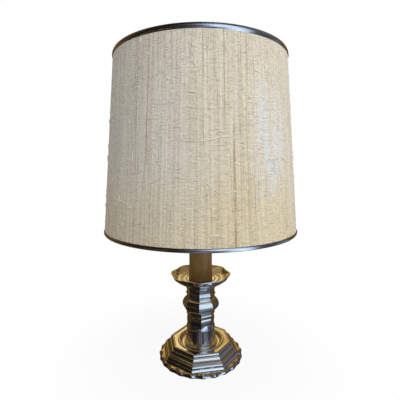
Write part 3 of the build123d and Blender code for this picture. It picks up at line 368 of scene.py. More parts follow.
# =================================================================================================
# Node trees
# =================================================================================================
FLOAT, WHOLE, VECTOR = "NodeSocketFloat", "NodeSocketInt", "NodeSocketVector"
MATERIAL, GEOMETRY = "NodeSocketMaterial", "NodeSocketGeometry"
UP = (0.0, 0.0, 1.0)
LEVEL = (1, 1, 0)
SEED_SHIFT = (3.1, 1.7, 1.0)


class Field:
    """A value in a node tree that is reckoned with like a number; each operation adds a node."""

    kind = "ShaderNodeMath"

    def __init__(self, socket):
        self.socket = socket
        self.tree = socket.id_data

    def math(self, operation, *others):
        """The result of a Math node, or of a Vector Math node for a vector."""
        return result_of(self.tree, self.kind, dict(enumerate((self, *others))), operation=operation)

    def __add__(self, other):
        return self.math("ADD", other)

    def __sub__(self, other):
        return self.math("SUBTRACT", other)

    def __rsub__(self, other):
        return result_of(self.tree, self.kind, {0: other, 1: self}, operation="SUBTRACT")

    def __mul__(self, other):
        return self.math("MULTIPLY", other)

    def scaled(self, factor, offset):
        """The value times a factor, and an offset."""
        return self.math("MULTIPLY_ADD", factor, offset)

    def either(self, other):
        """The larger of two values."""
        return self.math("MAXIMUM", other)

    def ramp(self, low, high, to_low=0.0, to_high=1.0):
        """The value carried smoothly from one range to another."""
        inputs = {"Value": self, "From Min": low, "From Max": high, "To Min": to_low, "To Max": to_high}
        return result_of(self.tree, "ShaderNodeMapRange", inputs, interpolation_type="SMOOTHSTEP")

    def near(self, place):
        """How far the value is from a place."""
        return (self - place).math("ABSOLUTE")

    def contour(self, level, width):
        """1 along the lines where the value passes a level."""
        return self.near(level).ramp(0.0, width, 1.0, 0.0)


class VectorField(Field):
    """A vector in a node tree."""

    kind = "ShaderNodeVectorMath"

    def parts(self):
        """Its three values."""
        return [Field(socket) for socket in put(self.tree, "ShaderNodeSeparateXYZ", {0: self}).outputs]

    def length(self):
        """How long the vector is."""
        return result_of(self.tree, self.kind, {0: self}, "Value", operation="LENGTH")

    def times(self, factor):
        """The vector made this many times as long."""
        return result_of(self.tree, self.kind, {0: self, "Scale": factor}, operation="SCALE")


def field(socket):
    """A socket as something to reckon with."""
    return VectorField(socket) if socket.type == "VECTOR" else Field(socket)


def fields(sockets):
    """The named ones of a node's sockets as fields, by name."""
    return {socket.name: field(socket) for socket in sockets if socket.name}


def fill(node, inputs):
    """Set or link a node's inputs, by name or place."""
    for key, value in inputs.items():
        if isinstance(value, Field):
            node.id_data.links.new(value.socket, node.inputs[key])
        else:
            node.inputs[key].default_value = value
    return node


def put(tree, kind, inputs=None, **settings):
    """Add a node, set its properties and fill its inputs."""
    node = tree.nodes.new(kind)
    for key, value in settings.items():
        setattr(node, key, value)
    return fill(node, inputs or {})


def result_of(tree, kind, inputs=None, output=0, **settings):
    """Add a node and take one of its outputs."""
    return field(put(tree, kind, inputs, **settings).outputs[output])


def combine(tree, *parts):
    """A vector from three values."""
    return result_of(tree, "ShaderNodeCombineXYZ", dict(enumerate(parts)))


def blend(factor, first, second, mode="MIX"):
    """Mix two colours, each a field or three numbers."""
    first, second = (colour if isinstance(colour, Field) else (*colour, 1) for colour in (first, second))
    return result_of(factor.tree, "ShaderNodeMix", {0: factor, 6: first, 7: second}, 2, data_type="RGBA",
                     blend_type=mode)


def noise(vector, stretch, seed=0.0, detail=2.0, roughness=0.5):
    """Noise with its own scale on each axis; the seed shifts it."""
    moved = vector * stretch + tuple(seed * part for part in SEED_SHIFT)
    inputs = {"Vector": moved, "Scale": 1.0, "Detail": detail, "Roughness": roughness}
    return result_of(vector.tree, "ShaderNodeTexNoise", inputs)


def bump(height, distance, strength=1.0):
    """The normal of a relief; the distance is in millimetres."""
    inputs = {"Height": height, "Distance": distance * MM, "Strength": strength}
    return result_of(height.tree, "ShaderNodeBump", inputs)


def object_coordinates(tree):
    """The place on the piece, in metres."""
    return result_of(tree, "ShaderNodeTexCoord", None, "Object")


def new_group(name, kind, inputs, outputs):
    """An empty node group with named sockets: its tree, its inputs as fields, and the node of its outputs."""
    tree = bpy.data.node_groups.new(name, kind)
    for label, socket_type, default in inputs:
        socket = tree.interface.new_socket(label, in_out="INPUT", socket_type=socket_type)
        if default is not None:
            socket.default_value = default
    for label, socket_type in outputs:
        tree.interface.new_socket(label, in_out="OUTPUT", socket_type=socket_type)
    return tree, fields(tree.nodes.new("NodeGroupInput").outputs), tree.nodes.new("NodeGroupOutput")


def use_group(tree, name, maker, inputs):
    """Add a shader group, made on its first use; returns its outputs by name."""
    node = put(tree, "ShaderNodeGroup", node_tree=stored(bpy.data.node_groups, name, maker))
    return fields(fill(node, inputs).outputs)


def stored(collection, name, maker, *arguments):
    """Something of this name that is made once and used by several pieces."""
    return collection[name] if name in collection else maker(name, *arguments)


def new_material(name, mapped=False):
    """A material, its Principled shader, and object coordinates or the piece's own UV map."""
    material = bpy.data.materials.new(name)
    material.use_nodes = True
    tree = material.node_tree
    vector = result_of(tree, "ShaderNodeUVMap") if mapped else object_coordinates(tree)
    return material, tree.nodes["Principled BSDF"], vector


# =================================================================================================
# Materials
# =================================================================================================
# Two colours, metallic share, roughness, scales of patches and grain, relief in millimetres and clear coat.
Finish = namedtuple("Finish", "colour shade metallic roughness patches grain relief coat",
                    defaults=(0.02, 0.0))
FINISHES = {
    "holder_black": Finish((0.025, 0.024, 0.024), (0.045, 0.042, 0.04), 0.0, 0.32, 70.0, 1400.0, 0.01, 0.3),
    "holder_ceramic": Finish((0.82, 0.80, 0.74), (0.70, 0.67, 0.60), 0.0, 0.3, 90.0, 900.0, 0.01, 0.4),
    "contact_brass": Finish((0.70, 0.52, 0.24), (0.50, 0.36, 0.15), 1.0, 0.28, 180.0, 2500.0),
    "tag_brass": Finish((0.70, 0.52, 0.24), (0.50, 0.36, 0.15), 1.0, 0.3, 180.0, 2500.0),
    "zinc_plating": Finish((0.60, 0.60, 0.57), (0.46, 0.46, 0.42), 1.0, 0.34, 120.0, 2200.0),
    "cast_iron": Finish((0.10, 0.10, 0.105), (0.16, 0.12, 0.09), 0.3, 0.75, 90.0, 700.0, 0.15),
    "cover_steel": Finish((0.42, 0.43, 0.44), (0.33, 0.32, 0.31), 1.0, 0.4, 60.0, 1600.0),
    "bush_plastic": Finish((0.035, 0.03, 0.027), (0.06, 0.05, 0.04), 0.0, 0.5, 300.0, 2000.0),
    # The lining's deep warm cream is partly its own colour and partly painted warm light, for the drip pan's
    # reflection of the inside of the shade.
    "lining_cream": Finish((0.86, 0.64, 0.28), (0.74, 0.52, 0.22), 0.0, 0.45, 14.0, 500.0, 0.01),
    "white_coating": Finish((0.84, 0.84, 0.81), (0.74, 0.72, 0.66), 0.0, 0.38, 50.0, 900.0, 0.03, 0.3),
    "cap_aluminium": Finish((0.74, 0.74, 0.75), (0.58, 0.57, 0.55), 1.0, 0.3, 150.0, 2000.0),
    "cap_glass": Finish((0.03, 0.025, 0.035), (0.06, 0.05, 0.06), 0.0, 0.2, 200.0, 900.0, 0.01, 0.5),
    "solder": Finish((0.66, 0.65, 0.60), (0.48, 0.47, 0.42), 1.0, 0.4, 300.0, 1500.0, 0.05),
}
LEAST_ROUGHNESS = 0.75         # the roughness of a finish runs from this share of its value up
ROUGHNESS_SPREAD = 0.5
PLATE_PATCHES, PLATE_MARKS = 26.0, 1500.0

# Noises of the silk: repeats for each millimetre across and up, seed, detail and roughness.
SILK_NOISES = {
    "streaks": ((0.16, 0.004, 1), 3.0, 3.0, 0.6),
    "upright": ((0.55, 0.006, 1), 5.0, 3.0, 0.7),
    "crinkle": ((0.10, 0.36, 1), 7.0, 4.0, 0.75),
    "weave": ((0.42, 0.42, 1), 9.0, 2.0, 0.7),
    "cloud": ((0.018, 0.014, 1), 11.0, 3.0, 0.5),
    "drawn": ((0.075, 0.0022, 1), 15.0, 1.0),
    "drawn_where": ((0.02, 0.011, 1), 17.0),
    "laid": ((0.016, 0.07, 1), 19.0, 2.0),
    "laid_where": ((0.035, 0.05, 1), 23.0),
    "dashes": ((0.07, 0.5, 1), 29.0, 2.0),
    "pale": ((0.09, 0.004, 1), 37.0, 1.0),
    "pale_where": ((0.03, 0.02, 1), 41.0),
    "flecks": ((0.08, 0.45, 1), 43.0, 2.0),
    "ribs": ((0.27, 0.0035, 1), 47.0, 2.0, 0.6),
    "picks": ((0.09, 0.60, 1), 53.0, 2.0, 0.8),
}
SILK_TONES = {"streaks": 0.6, "ribs": 0.8, "upright": 1.1, "crinkle": 0.2, "picks": 0.65, "weave": 0.8,
              "cloud": 0.3}
SILK_RELIEF = {"ribs": 0.6, "raised": 0.4, "picks": 1.0, "dashes": 0.3, "drawn": -0.3, "pale": 0.4,
               "nubs": 0.25}
SILK_RELIEF_HEIGHT = 1.3       # millimetres
# Tide marks: place and width in millimetres, strength, and the heights where they fade in and out.
TIDE_MARKS = (
    (-22.0, 1.2, 0.75, 90.0, 300.0), (3.3, 1.0, 0.75, 110.0, 300.0), (14.4, 2.2, 0.85, -60.0, 170.0),
    (22.0, 1.4, 0.40, -60.0, 150.0), (25.0, 1.0, 0.35, 60.0, 300.0), (31.5, 1.6, 0.45, -20.0, 300.0),
    (-91.6, 1.4, 0.70, 40.0, 280.0), (-109.0, 1.2, 0.60, -40.0, 280.0), (-6.0, 2.4, 0.25, -60.0, 120.0),
    (-300.0, 2.6, 0.50, -40.0, 240.0), (300.0, 2.2, 0.45, -40.0, 200.0),
)
TIDE_FADE = 60.0
# Painted sheen on the silk: where its cool pale patch is centred round the shade, in millimetres, and how
# strong it is.
SHEEN_PATCH_CENTRE = 70.0
SHEEN_PATCH_STRENGTH = 0.72
FELT_GREEN = (0.09, 0.15, 0.10)
FELT_SHADE = 0.45              # how dark the gaps between the fibres are
FOOT_TINT_HEIGHT = 22               # the sleeve's foot is greyer and paler this far up, in millimetres


def handling_group(name):
    """Where a surface has been handled: broad patches, fine rubbing marks and a slow waviness."""
    tree, given, result = new_group(
        name, "ShaderNodeTree",
        [("Vector", VECTOR, None), ("Patch Scale", FLOAT, 40.0), ("Mark Scale", FLOAT, 900.0)],
        [("Patches", FLOAT), ("Marks", FLOAT), ("Waviness", FLOAT)],
    )

    def texture(vector, scale, detail):
        return result_of(tree, "ShaderNodeTexNoise", {"Vector": vector, "Scale": scale, "Detail": detail})

    fill(result, {
        "Patches": texture(given["Vector"], given["Patch Scale"], 5.0).ramp(0.42, 0.72),
        "Marks": texture(given["Vector"] * (1.0, 1.0, 6.0), given["Mark Scale"], 3.0),
        "Waviness": texture(given["Vector"], given["Patch Scale"] * 1.6, 1.0),
    })
    return tree


def handling_marks(vector, patches, marks):
    """The handling group's outputs at these scales."""
    return use_group(vector.tree, "handling_marks", handling_group,
                     {"Vector": vector, "Patch Scale": patches, "Mark Scale": marks})


def plain_finish(name):
    """A moulded, cast, rolled or painted finish: mottled colour, uneven gloss and a fine grain."""
    finish = FINISHES[name]
    material, shader, vector = new_material(name)
    marks = handling_marks(vector, finish.patches, finish.grain)
    rough = finish.roughness
    fill(shader, {
        "Base Color": blend(marks["Patches"], finish.colour, finish.shade),
        "Roughness": marks["Marks"].scaled(rough * ROUGHNESS_SPREAD, rough * LEAST_ROUGHNESS),
        "Metallic": finish.metallic, "Coat Weight": finish.coat,
        "Normal": bump(marks["Marks"], finish.relief, 0.6),
    })
    return material


def plate_finish(name, settings, warmth=1.0, dulling=0.0):
    """Polished silver plate: warm tarnish in the hollows, rubbed patches and slightly wavy flats."""
    material, shader, vector = new_material(name)
    marks = handling_marks(vector, PLATE_PATCHES, PLATE_MARKS)
    recess = result_of(vector.tree, "ShaderNodeAttribute", None, "Fac", attribute_name="recess")
    colour = blend(marks["Patches"] * (0.55 * warmth), settings.plate_colour, settings.tarnish_colour)
    gloss = marks["Marks"].scaled(0.08, settings.plate_roughness - 0.04 + dulling)
    fill(shader, {
        "Base Color": blend(recess * 0.8, colour, settings.recess_colour), "Metallic": 1.0,
        "Roughness": recess.scaled(0.25, gloss), "Normal": bump(marks["Waviness"], 0.22, 0.5),
    })
    return material


def silver_plate(settings):
    """The plate that all castings of the lamp share."""
    return stored(bpy.data.materials, "silver_plate", plate_finish, settings)


def silk_group(name):
    """Hand-spun silk, on millimetres: uneven yarns both ways, drawn threads, slubs, small nubs and specks."""
    labels = ("Shade", "Dark Threads", "Specks", "Pale Threads", "Nubs", "Height")
    tree, given, result = new_group(name, "ShaderNodeTree", [("Vector", VECTOR, None)],
                                    [(label, FLOAT) for label in labels])
    vector = given["Vector"]
    parts = {part: noise(vector, *row) for part, row in SILK_NOISES.items()}
    shade = 0.5
    for part, weight in SILK_TONES.items():
        shade = (parts[part] - 0.5).scaled(weight, shade)
    height = parts["weave"].scaled(0.2, parts["upright"] * 0.5)
    laid = parts["laid"].contour(0.5, 0.016) * parts["laid_where"].ramp(0.52, 0.6)
    pale = parts["pale"].contour(0.52, 0.008) * parts["pale_where"].ramp(0.46, 0.58)
    spots = fields(put(tree, "ShaderNodeTexVoronoi", {"Vector": vector * (0.095, 0.075, 1), "Scale": 1.0},
                       voronoi_dimensions="2D").outputs)
    random_colour = put(tree, "ShaderNodeSeparateColor", {0: spots["Color"]})
    picked, hue = Field(random_colour.outputs[0]), Field(random_colour.outputs[1])
    specks = spots["Distance"].ramp(0.03, 0.10, 1.0, 0.0) * hue.math("GREATER_THAN", 0.93)
    parts.update({
        "raised": parts["crinkle"].ramp(0.52, 0.75), "dashes": parts["dashes"].ramp(0.64, 0.72),
        "drawn": parts["drawn"].contour(0.46, 0.008) * parts["drawn_where"].ramp(0.44, 0.56),
        "pale": pale.either(parts["flecks"].ramp(0.62, 0.72)).either(laid),
        "nubs": spots["Distance"].ramp(0.04, 0.15, 1.0, 0.0) * picked.ramp(0.5, 0.55),
    })
    for part, weight in SILK_RELIEF.items():
        height = parts[part].scaled(weight, height)
    fill(result, dict(zip(labels, (shade, parts["drawn"], specks, parts["pale"], parts["nubs"], height))))
    return tree


def silk_finish(name, settings):
    """Ivory raw silk, warmer low down and to one side, with brown tide marks and a painted cool sheen patch.
    """
    material, shader, place = new_material(name, mapped=True)
    silk = use_group(place.tree, "slub_silk", silk_group, {"Vector": place})
    across, up, _ = place.parts()
    centre = (noise(place, (0.02, 0.010, 1), 21.0, 2.0) - 0.5).scaled(4.0, across)
    marks = 0.0
    for position, width, weight, low, high in TIDE_MARKS:
        band = centre.near(position).ramp(0.0, width, weight, 0.0)
        band = band * up.ramp(low, low + TIDE_FADE) * up.ramp(high, high - TIDE_FADE)
        marks = band.either(marks)
    broken = noise(place, (0.25, 0.02, 1), 27.0, 3.0).ramp(0.3, 0.55)
    # Warmer tint: strongest low down, a little right of the front, and in broad patches.
    warm_patch = noise(place, (0.006, 0.004, 1), 31.0, 3.0).ramp(0.35, 0.7)
    warm_side = across.ramp(-75.0, 15.0) * across.ramp(150.0, 70.0)
    warm_tint_mask = warm_side.scaled(0.3, up.ramp(130.0, 0.0).scaled(0.75, warm_patch * 0.3))
    # Painted sheen: a cool pale patch right of the front, where the silk reflects a window, broken up by
    # noise.
    patch = centre.near(SHEEN_PATCH_CENTRE).ramp(4.0, 40.0, 1.0, 0.0)
    patch = patch * up.ramp(40.0, 110.0) * up.ramp(240.0, 150.0)
    sheen_breakup = noise(place, (0.09, 0.014, 1), 33.0, 3.0).ramp(0.38, 0.58, 0.15, 1.0)
    colour = blend(silk["Shade"].ramp(0.0, 1.0), settings.silk_dark, settings.silk_light)
    # The warmer tint is multiplied into the colour.
    colour = blend(warm_tint_mask, colour, settings.warm_tint, "MULTIPLY")
    # The painted cool sheen goes into the colour here.
    colour = blend(patch * sheen_breakup * SHEEN_PATCH_STRENGTH, colour, settings.painted_sheen_colour)
    colour = blend(marks * broken, colour, settings.stain_colour)
    for label, weight, tone in (("Dark Threads", 0.22, settings.slub_shadow),
                                ("Pale Threads", 0.3, settings.silk_pale), ("Nubs", 0.25, settings.silk_pale),
                                ("Specks", 0.75, settings.stain_colour)):
        colour = blend(silk[label] * weight, colour, tone)
    fill(shader, {"Base Color": colour, "Roughness": 0.6, "Sheen Weight": 0.12, "Sheen Roughness": 0.4,
                  "Normal": bump(silk["Height"], SILK_RELIEF_HEIGHT)})
    return material


def yarn_finish(name, settings):
    """The proud slubs, of the cloth's own yarn."""
    material, shader, vector = new_material(name)
    twist = noise(vector, (240.0, 240.0, 60.0), 2.0, 3.0)
    fill(shader, {"Base Color": blend(twist.ramp(0.2, 0.9), settings.silk_dark, settings.silk_light),
                  "Roughness": 0.6, "Normal": bump(twist, 0.1, 0.6)})
    return material


def candle_finish(name, settings):
    """Aged amber candle sleeve, its dark tone partly its own and partly painted shade: cloudy depth, faint
    upright drag lines and a dulled sheen.
    """
    material, shader, vector = new_material(name)
    drag = noise(vector, (260.0, 260.0, 9.0), 4.0, 3.0)
    cloud = noise(vector, (28.0, 28.0, 20.0), 6.0, 4.0)
    # Greyer and paler towards the foot of the sleeve.
    paler_foot = vector.parts()[2].ramp((SLEEVE_BOTTOM + FOOT_TINT_HEIGHT) * MM, SLEEVE_BOTTOM * MM, 0.0, 0.45)
    # The amber tones are partly the sleeve's own colour and partly painted shade from the lampshade above.
    colour = blend(cloud.ramp(0.3, 0.7), settings.candle_light, settings.candle_dark)
    colour = blend(drag.ramp(0.5, 0.75) * 0.3, colour, settings.candle_dark)
    fill(shader, {"Base Color": blend(paler_foot, colour, settings.candle_foot),
                  "Roughness": cloud.scaled(0.2, 0.32), "Coat Weight": 0.12, "Coat Roughness": 0.35,
                  "Normal": bump(drag, 0.08, 0.5)})
    return material


def felt_finish(name, colour):
    """Pressed felt: short crossing fibres."""
    material, shader, vector = new_material(name)
    fibres = noise(vector, (900.0, 260.0, 260.0), 2.0, 5.0, 0.7)
    crossing = noise(vector, (260.0, 900.0, 260.0), 5.0, 5.0, 0.7)
    nap = fibres * 0.5 + crossing * 0.5
    dark = tuple(channel * FELT_SHADE for channel in colour)
    fill(shader, {"Base Color": blend(nap.ramp(0.35, 0.65), dark, colour), "Roughness": 0.95,
                  "Sheen Weight": 0.3, "Normal": bump(nap, 0.25, 0.9)})
    return material


def pearl_finish(name):
    """Frosted bulb glass with a white coating of uneven thickness."""
    material, shader, vector = new_material(name)
    frost = noise(vector, (300.0, 300.0, 300.0), 3.0, 4.0)
    fill(shader, {"Base Color": blend(frost, (0.93, 0.92, 0.88), (0.80, 0.79, 0.76)),
                  "Roughness": frost.scaled(0.15, 0.30), "Transmission Weight": 0.55, "IOR": 1.3,
                  "Normal": bump(frost, 0.03, 0.5)})
    return material


# =================================================================================================
# Geometry Nodes
# =================================================================================================
LAP_START = 1.2                # the outer layer steps out this many lap widths before the back
SPREAD = (0.25, 1.0)           # sizes of the slubs, as shares of the largest
SPREAD_POWER = 1.6             # more small ones than large ones
TILT = 0.12                    # how far a slub leans from upright or level, as a slope
FLATNESS = 0.6                 # depth of a slub over its width
LEAST_LIFT = -0.25             # how deep a slub reaches into the cloth, as a share of how far it stands out
LIFT_SHARE = 0.8               # how far it stands out, as a share of its thickness


def position(tree):
    """The place of a point or vertex."""
    return result_of(tree, "GeometryNodeInputPosition")


def close_tree(result, geometry, material):
    """End a tree in Realize Instances and Set Material."""
    tree = geometry.tree
    whole = result_of(tree, "GeometryNodeRealizeInstances", {"Geometry": geometry})
    painted = result_of(tree, "GeometryNodeSetMaterial", {"Geometry": whole, "Material": material})
    fill(result, {"Geometry": painted})
    return tree


def grown(name, tree, values, start=None):
    """Run a tree with these input values and keep what it makes as a plain mesh."""
    piece = bpy.data.objects.new(name, start or bpy.data.meshes.new(name))
    bpy.context.scene.collection.objects.link(piece)
    modifier = piece.modifiers.new(name, "NODES")
    modifier.node_group = tree
    for item in tree.interface.items_tree:
        if item.item_type == "SOCKET" and item.in_out == "INPUT" and item.name in values:
            modifier[item.identifier] = values[item.name]
    return bake_modifiers(piece)


def tapered_sheet_tree():
    """A tapered sheet wrapped round the axis, with a lap where its ends meet at the back."""
    tree, given, result = new_group(
        "tapered_sheet", "GeometryNodeTree",
        [("Bottom Radius", FLOAT, 0.15), ("Top Radius", FLOAT, 0.13), ("Bottom", FLOAT, 0.0),
         ("Height", FLOAT, 0.26), ("Lap", FLOAT, 0.008), ("Lap Step", FLOAT, 0.0006), ("Columns", WHOLE, 240),
         ("Rows", WHOLE, 40), ("Material", MATERIAL, None)],
        [("Geometry", GEOMETRY)],
    )
    grid = result_of(tree, "GeometryNodeMeshGrid", {
        "Size X": 1.0, "Size Y": 1.0, "Vertices X": given["Columns"], "Vertices Y": given["Rows"],
    })
    share_round, share_up, _ = position(tree).parts()
    share_up = share_up + 0.5
    lap_angle = given["Lap"].math("DIVIDE", given["Bottom Radius"])
    angle = share_round * (lap_angle + 2 * pi)
    past = angle - (pi - lap_angle * LAP_START)
    radius = (given["Top Radius"] - given["Bottom Radius"]).scaled(share_up, given["Bottom Radius"])
    radius = radius + past.ramp(0.0, 0.02) * given["Lap Step"]
    wrapped = combine(tree, radius * angle.math("SINE"), radius * (angle.math("COSINE") * -1.0),
                      share_up.scaled(given["Height"], given["Bottom"]))
    sheet = result_of(tree, "GeometryNodeSetPosition", {"Geometry": grid, "Position": wrapped})
    return close_tree(result, sheet, given["Material"])


def slub_tree():
    """Thread slubs scattered over a cloth: wandering spindles that lie in it, upright or level."""
    tree, given, result = new_group(
        "thread_slubs", "GeometryNodeTree",
        [("Geometry", GEOMETRY, None), ("Density", FLOAT, 2000.0), ("Length", FLOAT, 0.006),
         ("Thickness", FLOAT, 0.0004), ("Level", FLOAT, 0.0), ("Wander", FLOAT, 0.0005),
         ("Wander Scale", FLOAT, 160.0), ("Rings", WHOLE, 8), ("Bottom Radius", FLOAT, 0.15),
         ("Bottom", FLOAT, 0.0), ("Slope", FLOAT, 0.08), ("Lowest", FLOAT, 0.0), ("Highest", FLOAT, 1.0),
         ("Seed", WHOLE, 1), ("Material", MATERIAL, None)],
        [("Geometry", GEOMETRY)],
    )
    level, seed = given["Level"], given["Seed"]

    def by_level(upright, levelled):
        """The first vector for upright slubs, the second for level ones."""
        return result_of(tree, "ShaderNodeMix", {0: level, 4: upright, 5: levelled}, 1, data_type="VECTOR")

    def aligned(axis, inputs, **settings):
        return result_of(tree, "FunctionNodeAlignRotationToVector", inputs, axis=axis, **settings)

    height = position(tree).parts()[2]
    inside = height.math("GREATER_THAN", given["Lowest"]) * height.math("LESS_THAN", given["Highest"])
    scatter = fields(put(tree, "GeometryNodeDistributePointsOnFaces", {
        "Mesh": given["Geometry"], "Density": given["Density"], "Seed": seed, "Selection": inside,
    }).outputs)
    normal = scatter["Normal"]
    tilt = result_of(tree, "FunctionNodeRandomValue", {0: (-TILT,) * 3, 1: (TILT,) * 3, "Seed": seed},
                     data_type="FLOAT_VECTOR")
    direction = by_level(UP, normal.math("CROSS_PRODUCT", UP)) + tilt
    laid = aligned("X", {"Rotation": aligned("Z", {"Vector": direction}), "Vector": normal}, pivot_axis="Z")
    spindle = result_of(tree, "GeometryNodeMeshUVSphere",
                        {"Segments": 6, "Rings": given["Rings"], "Radius": 1.0})
    spindle = result_of(tree, "GeometryNodeStoreNamedAttribute",
                        {"Geometry": spindle, "Name": "lift", "Value": position(tree).parts()[0]})
    spread = result_of(tree, "FunctionNodeRandomValue", {2: SPREAD[0], 3: SPREAD[1], "Seed": seed}, 1)
    stout = given["Thickness"] * spread.scaled(0.5, 0.5)
    size = combine(tree, stout * FLATNESS, stout, given["Length"] * spread.math("POWER", SPREAD_POWER))
    slubs = result_of(tree, "GeometryNodeInstanceOnPoints", {
        "Points": scatter["Points"], "Instance": spindle, "Rotation": laid, "Scale": size,
    })
    slubs = result_of(tree, "GeometryNodeSetShadeSmooth", {"Geometry": slubs})
    slubs = result_of(tree, "GeometryNodeRealizeInstances", {"Geometry": slubs})

    place = position(tree)
    outward = place * LEVEL
    sideways = result_of(tree, "ShaderNodeVectorMath", {0: UP, 1: outward}, operation="CROSS_PRODUCT")
    waves = result_of(tree, "ShaderNodeTexNoise",
                      {"Vector": place, "Scale": given["Wander Scale"], "Detail": 2.0})
    sway = by_level(sideways.math("NORMALIZE"), UP).times((waves - 0.5) * (given["Wander"] * 4.0))
    slubs = result_of(tree, "GeometryNodeSetPosition", {"Geometry": slubs, "Offset": sway})
    lift = result_of(tree, "GeometryNodeInputNamedAttribute", {"Name": "lift"}).either(LEAST_LIFT)
    height = place.parts()[2]
    radius = given["Bottom Radius"] - (height - given["Bottom"]) * given["Slope"]
    radius = lift.scaled(given["Thickness"] * LIFT_SHARE, radius)
    wrapped = outward.math("NORMALIZE").times(radius) + combine(tree, 0.0, 0.0, height)
    slubs = result_of(tree, "GeometryNodeSetPosition", {"Geometry": slubs, "Position": wrapped})
    return close_tree(result, slubs, given["Material"])


def ridge_tree():
    """Round ridges stacked on the axis, as the turns of a moulded screw thread."""
    tree, given, result = new_group(
        "stacked_ridges", "GeometryNodeTree",
        [("Count", WHOLE, 8), ("Pitch", FLOAT, 0.002), ("Radius", FLOAT, 0.0187), ("Bottom", FLOAT, 0.0),
         ("Section", FLOAT, 0.0005), ("Material", MATERIAL, None)],
        [("Geometry", GEOMETRY)],
    )

    def circle(resolution, radius):
        return result_of(tree, "GeometryNodeCurvePrimitiveCircle",
                         {"Resolution": resolution, "Radius": radius})

    ridge = result_of(tree, "GeometryNodeCurveToMesh",
                      {"Curve": circle(96, given["Radius"]), "Profile Curve": circle(8, given["Section"])})
    line = result_of(tree, "GeometryNodeMeshLine", {
        "Count": given["Count"], "Start Location": combine(tree, 0.0, 0.0, given["Bottom"]),
        "Offset": combine(tree, 0.0, 0.0, given["Pitch"]),
    })
    ridges = result_of(tree, "GeometryNodeInstanceOnPoints", {"Points": line, "Instance": ridge})
    ridges = result_of(tree, "GeometryNodeSetShadeSmooth", {"Geometry": ridges})
    return close_tree(result, ridges, given["Material"])


# =================================================================================================
# Settings
# =================================================================================================
def colour_setting(name, description, default):
    """A colour in the panel."""
    return FloatVectorProperty(name=name, description=description, subtype="COLOR", size=3, min=0.0, max=1.0,
                               default=default)


class CastingSettings(PropertyGroup):
    plate_colour: colour_setting("Plate", "Rubbed silver plate", (0.88, 0.86, 0.83))
    tarnish_colour: colour_setting("Tarnish", "Warm tarnish in patches", (0.80, 0.72, 0.60))
    recess_colour: colour_setting("Hollows", "Oxide left in the hollow corners", (0.22, 0.15, 0.08))
    plate_roughness: FloatProperty(name="Polish", description="Roughness of the plate", default=0.07,
                                   min=0.02, max=0.6)
    edge_softness: FloatProperty(name="Edges", description="Rounding of the moulding edges, in millimetres",
                                 default=0.32, min=0.05, max=0.7)


class SleeveSettings(PropertyGroup):
    # Candle colours: partly the sleeve's own, partly painted shade from the lampshade above.
    candle_light: colour_setting("Candle, light", "Clearer parts of the sleeve", (0.35, 0.215, 0.050))
    candle_dark: colour_setting("Candle, dark", "Darker clouds and drag lines", (0.24, 0.135, 0.022))
    candle_foot: colour_setting("Candle, foot", "Greyer foot of the sleeve", (0.25, 0.175, 0.095))


class ShadeSettings(PropertyGroup):
    silk_light: colour_setting("Silk, light", "Paler yarns", (1.0, 0.965, 0.85))
    silk_dark: colour_setting("Silk, dark", "Darker yarns and the gaps between them", (0.73, 0.665, 0.55))
    # Tint multiplied in low down and a little right of the front.
    warm_tint: colour_setting("Warm tint", "Tint of the warmer parts", (0.96, 0.88, 0.70))
    stain_colour: colour_setting("Tide marks", "Brown marks and specks", (0.47, 0.35, 0.16))
    slub_shadow: colour_setting("Thread shade", "Dark drawn threads", (0.27, 0.22, 0.14))
    silk_pale: colour_setting("Thread light", "Palest threads and nubs", (0.92, 0.90, 0.83))
    # Colour of the painted cool sheen patch on the silk.
    painted_sheen_colour: colour_setting("Painted sheen", "Cool painted sheen patch", (0.86, 0.89, 0.93))
    slub_density: FloatProperty(name="Slubs", description="Slubs for each square metre, times a kind's share",
                                default=900.0, min=0.0, max=8000.0)
    slub_seed: IntProperty(name="Seed", description="Which scatter of slubs", default=7, min=0)
    lap: FloatProperty(name="Lap", description="Width of the glued lap at the back", default=0.009, min=0.0,
                       max=0.03, unit="LENGTH")


class StudioSettings(PropertyGroup):
    camera_place: FloatVectorProperty(name="Camera", description="Where the camera stands", subtype="XYZ",
                                      unit="LENGTH", default=(-0.0885, -0.4870, 0.3140))
    camera_pitch: FloatProperty(name="Pitch", description="How far the camera looks down", subtype="ANGLE",
                                default=radians(6.3))
    camera_heading: FloatProperty(name="Heading", description="Turn of the camera from +Y towards +X",
                                  subtype="ANGLE", default=radians(10.3))
    camera_roll: FloatProperty(name="Roll", description="Lean of the camera", subtype="ANGLE",
                               default=radians(0.1))
    lens: FloatProperty(name="Lens", description="Focal length in millimetres", default=27.9, min=10.0)
    key_power: FloatProperty(name="Key", description="Power of the large window light", unit="POWER",
                             default=19.8)
    fill_power: FloatProperty(name="Fill", description="Power of the fill light", unit="POWER", default=3.0)
    bounce_power: FloatProperty(name="Bounce", description="Power of the light at the left", unit="POWER",
                                default=1.7)
    world_level: FloatProperty(name="World", description="Even light from all round", default=0.37)


class LampOperator:
    """What the operators of the lamp share."""

    bl_options = {"REGISTER", "UNDO"}


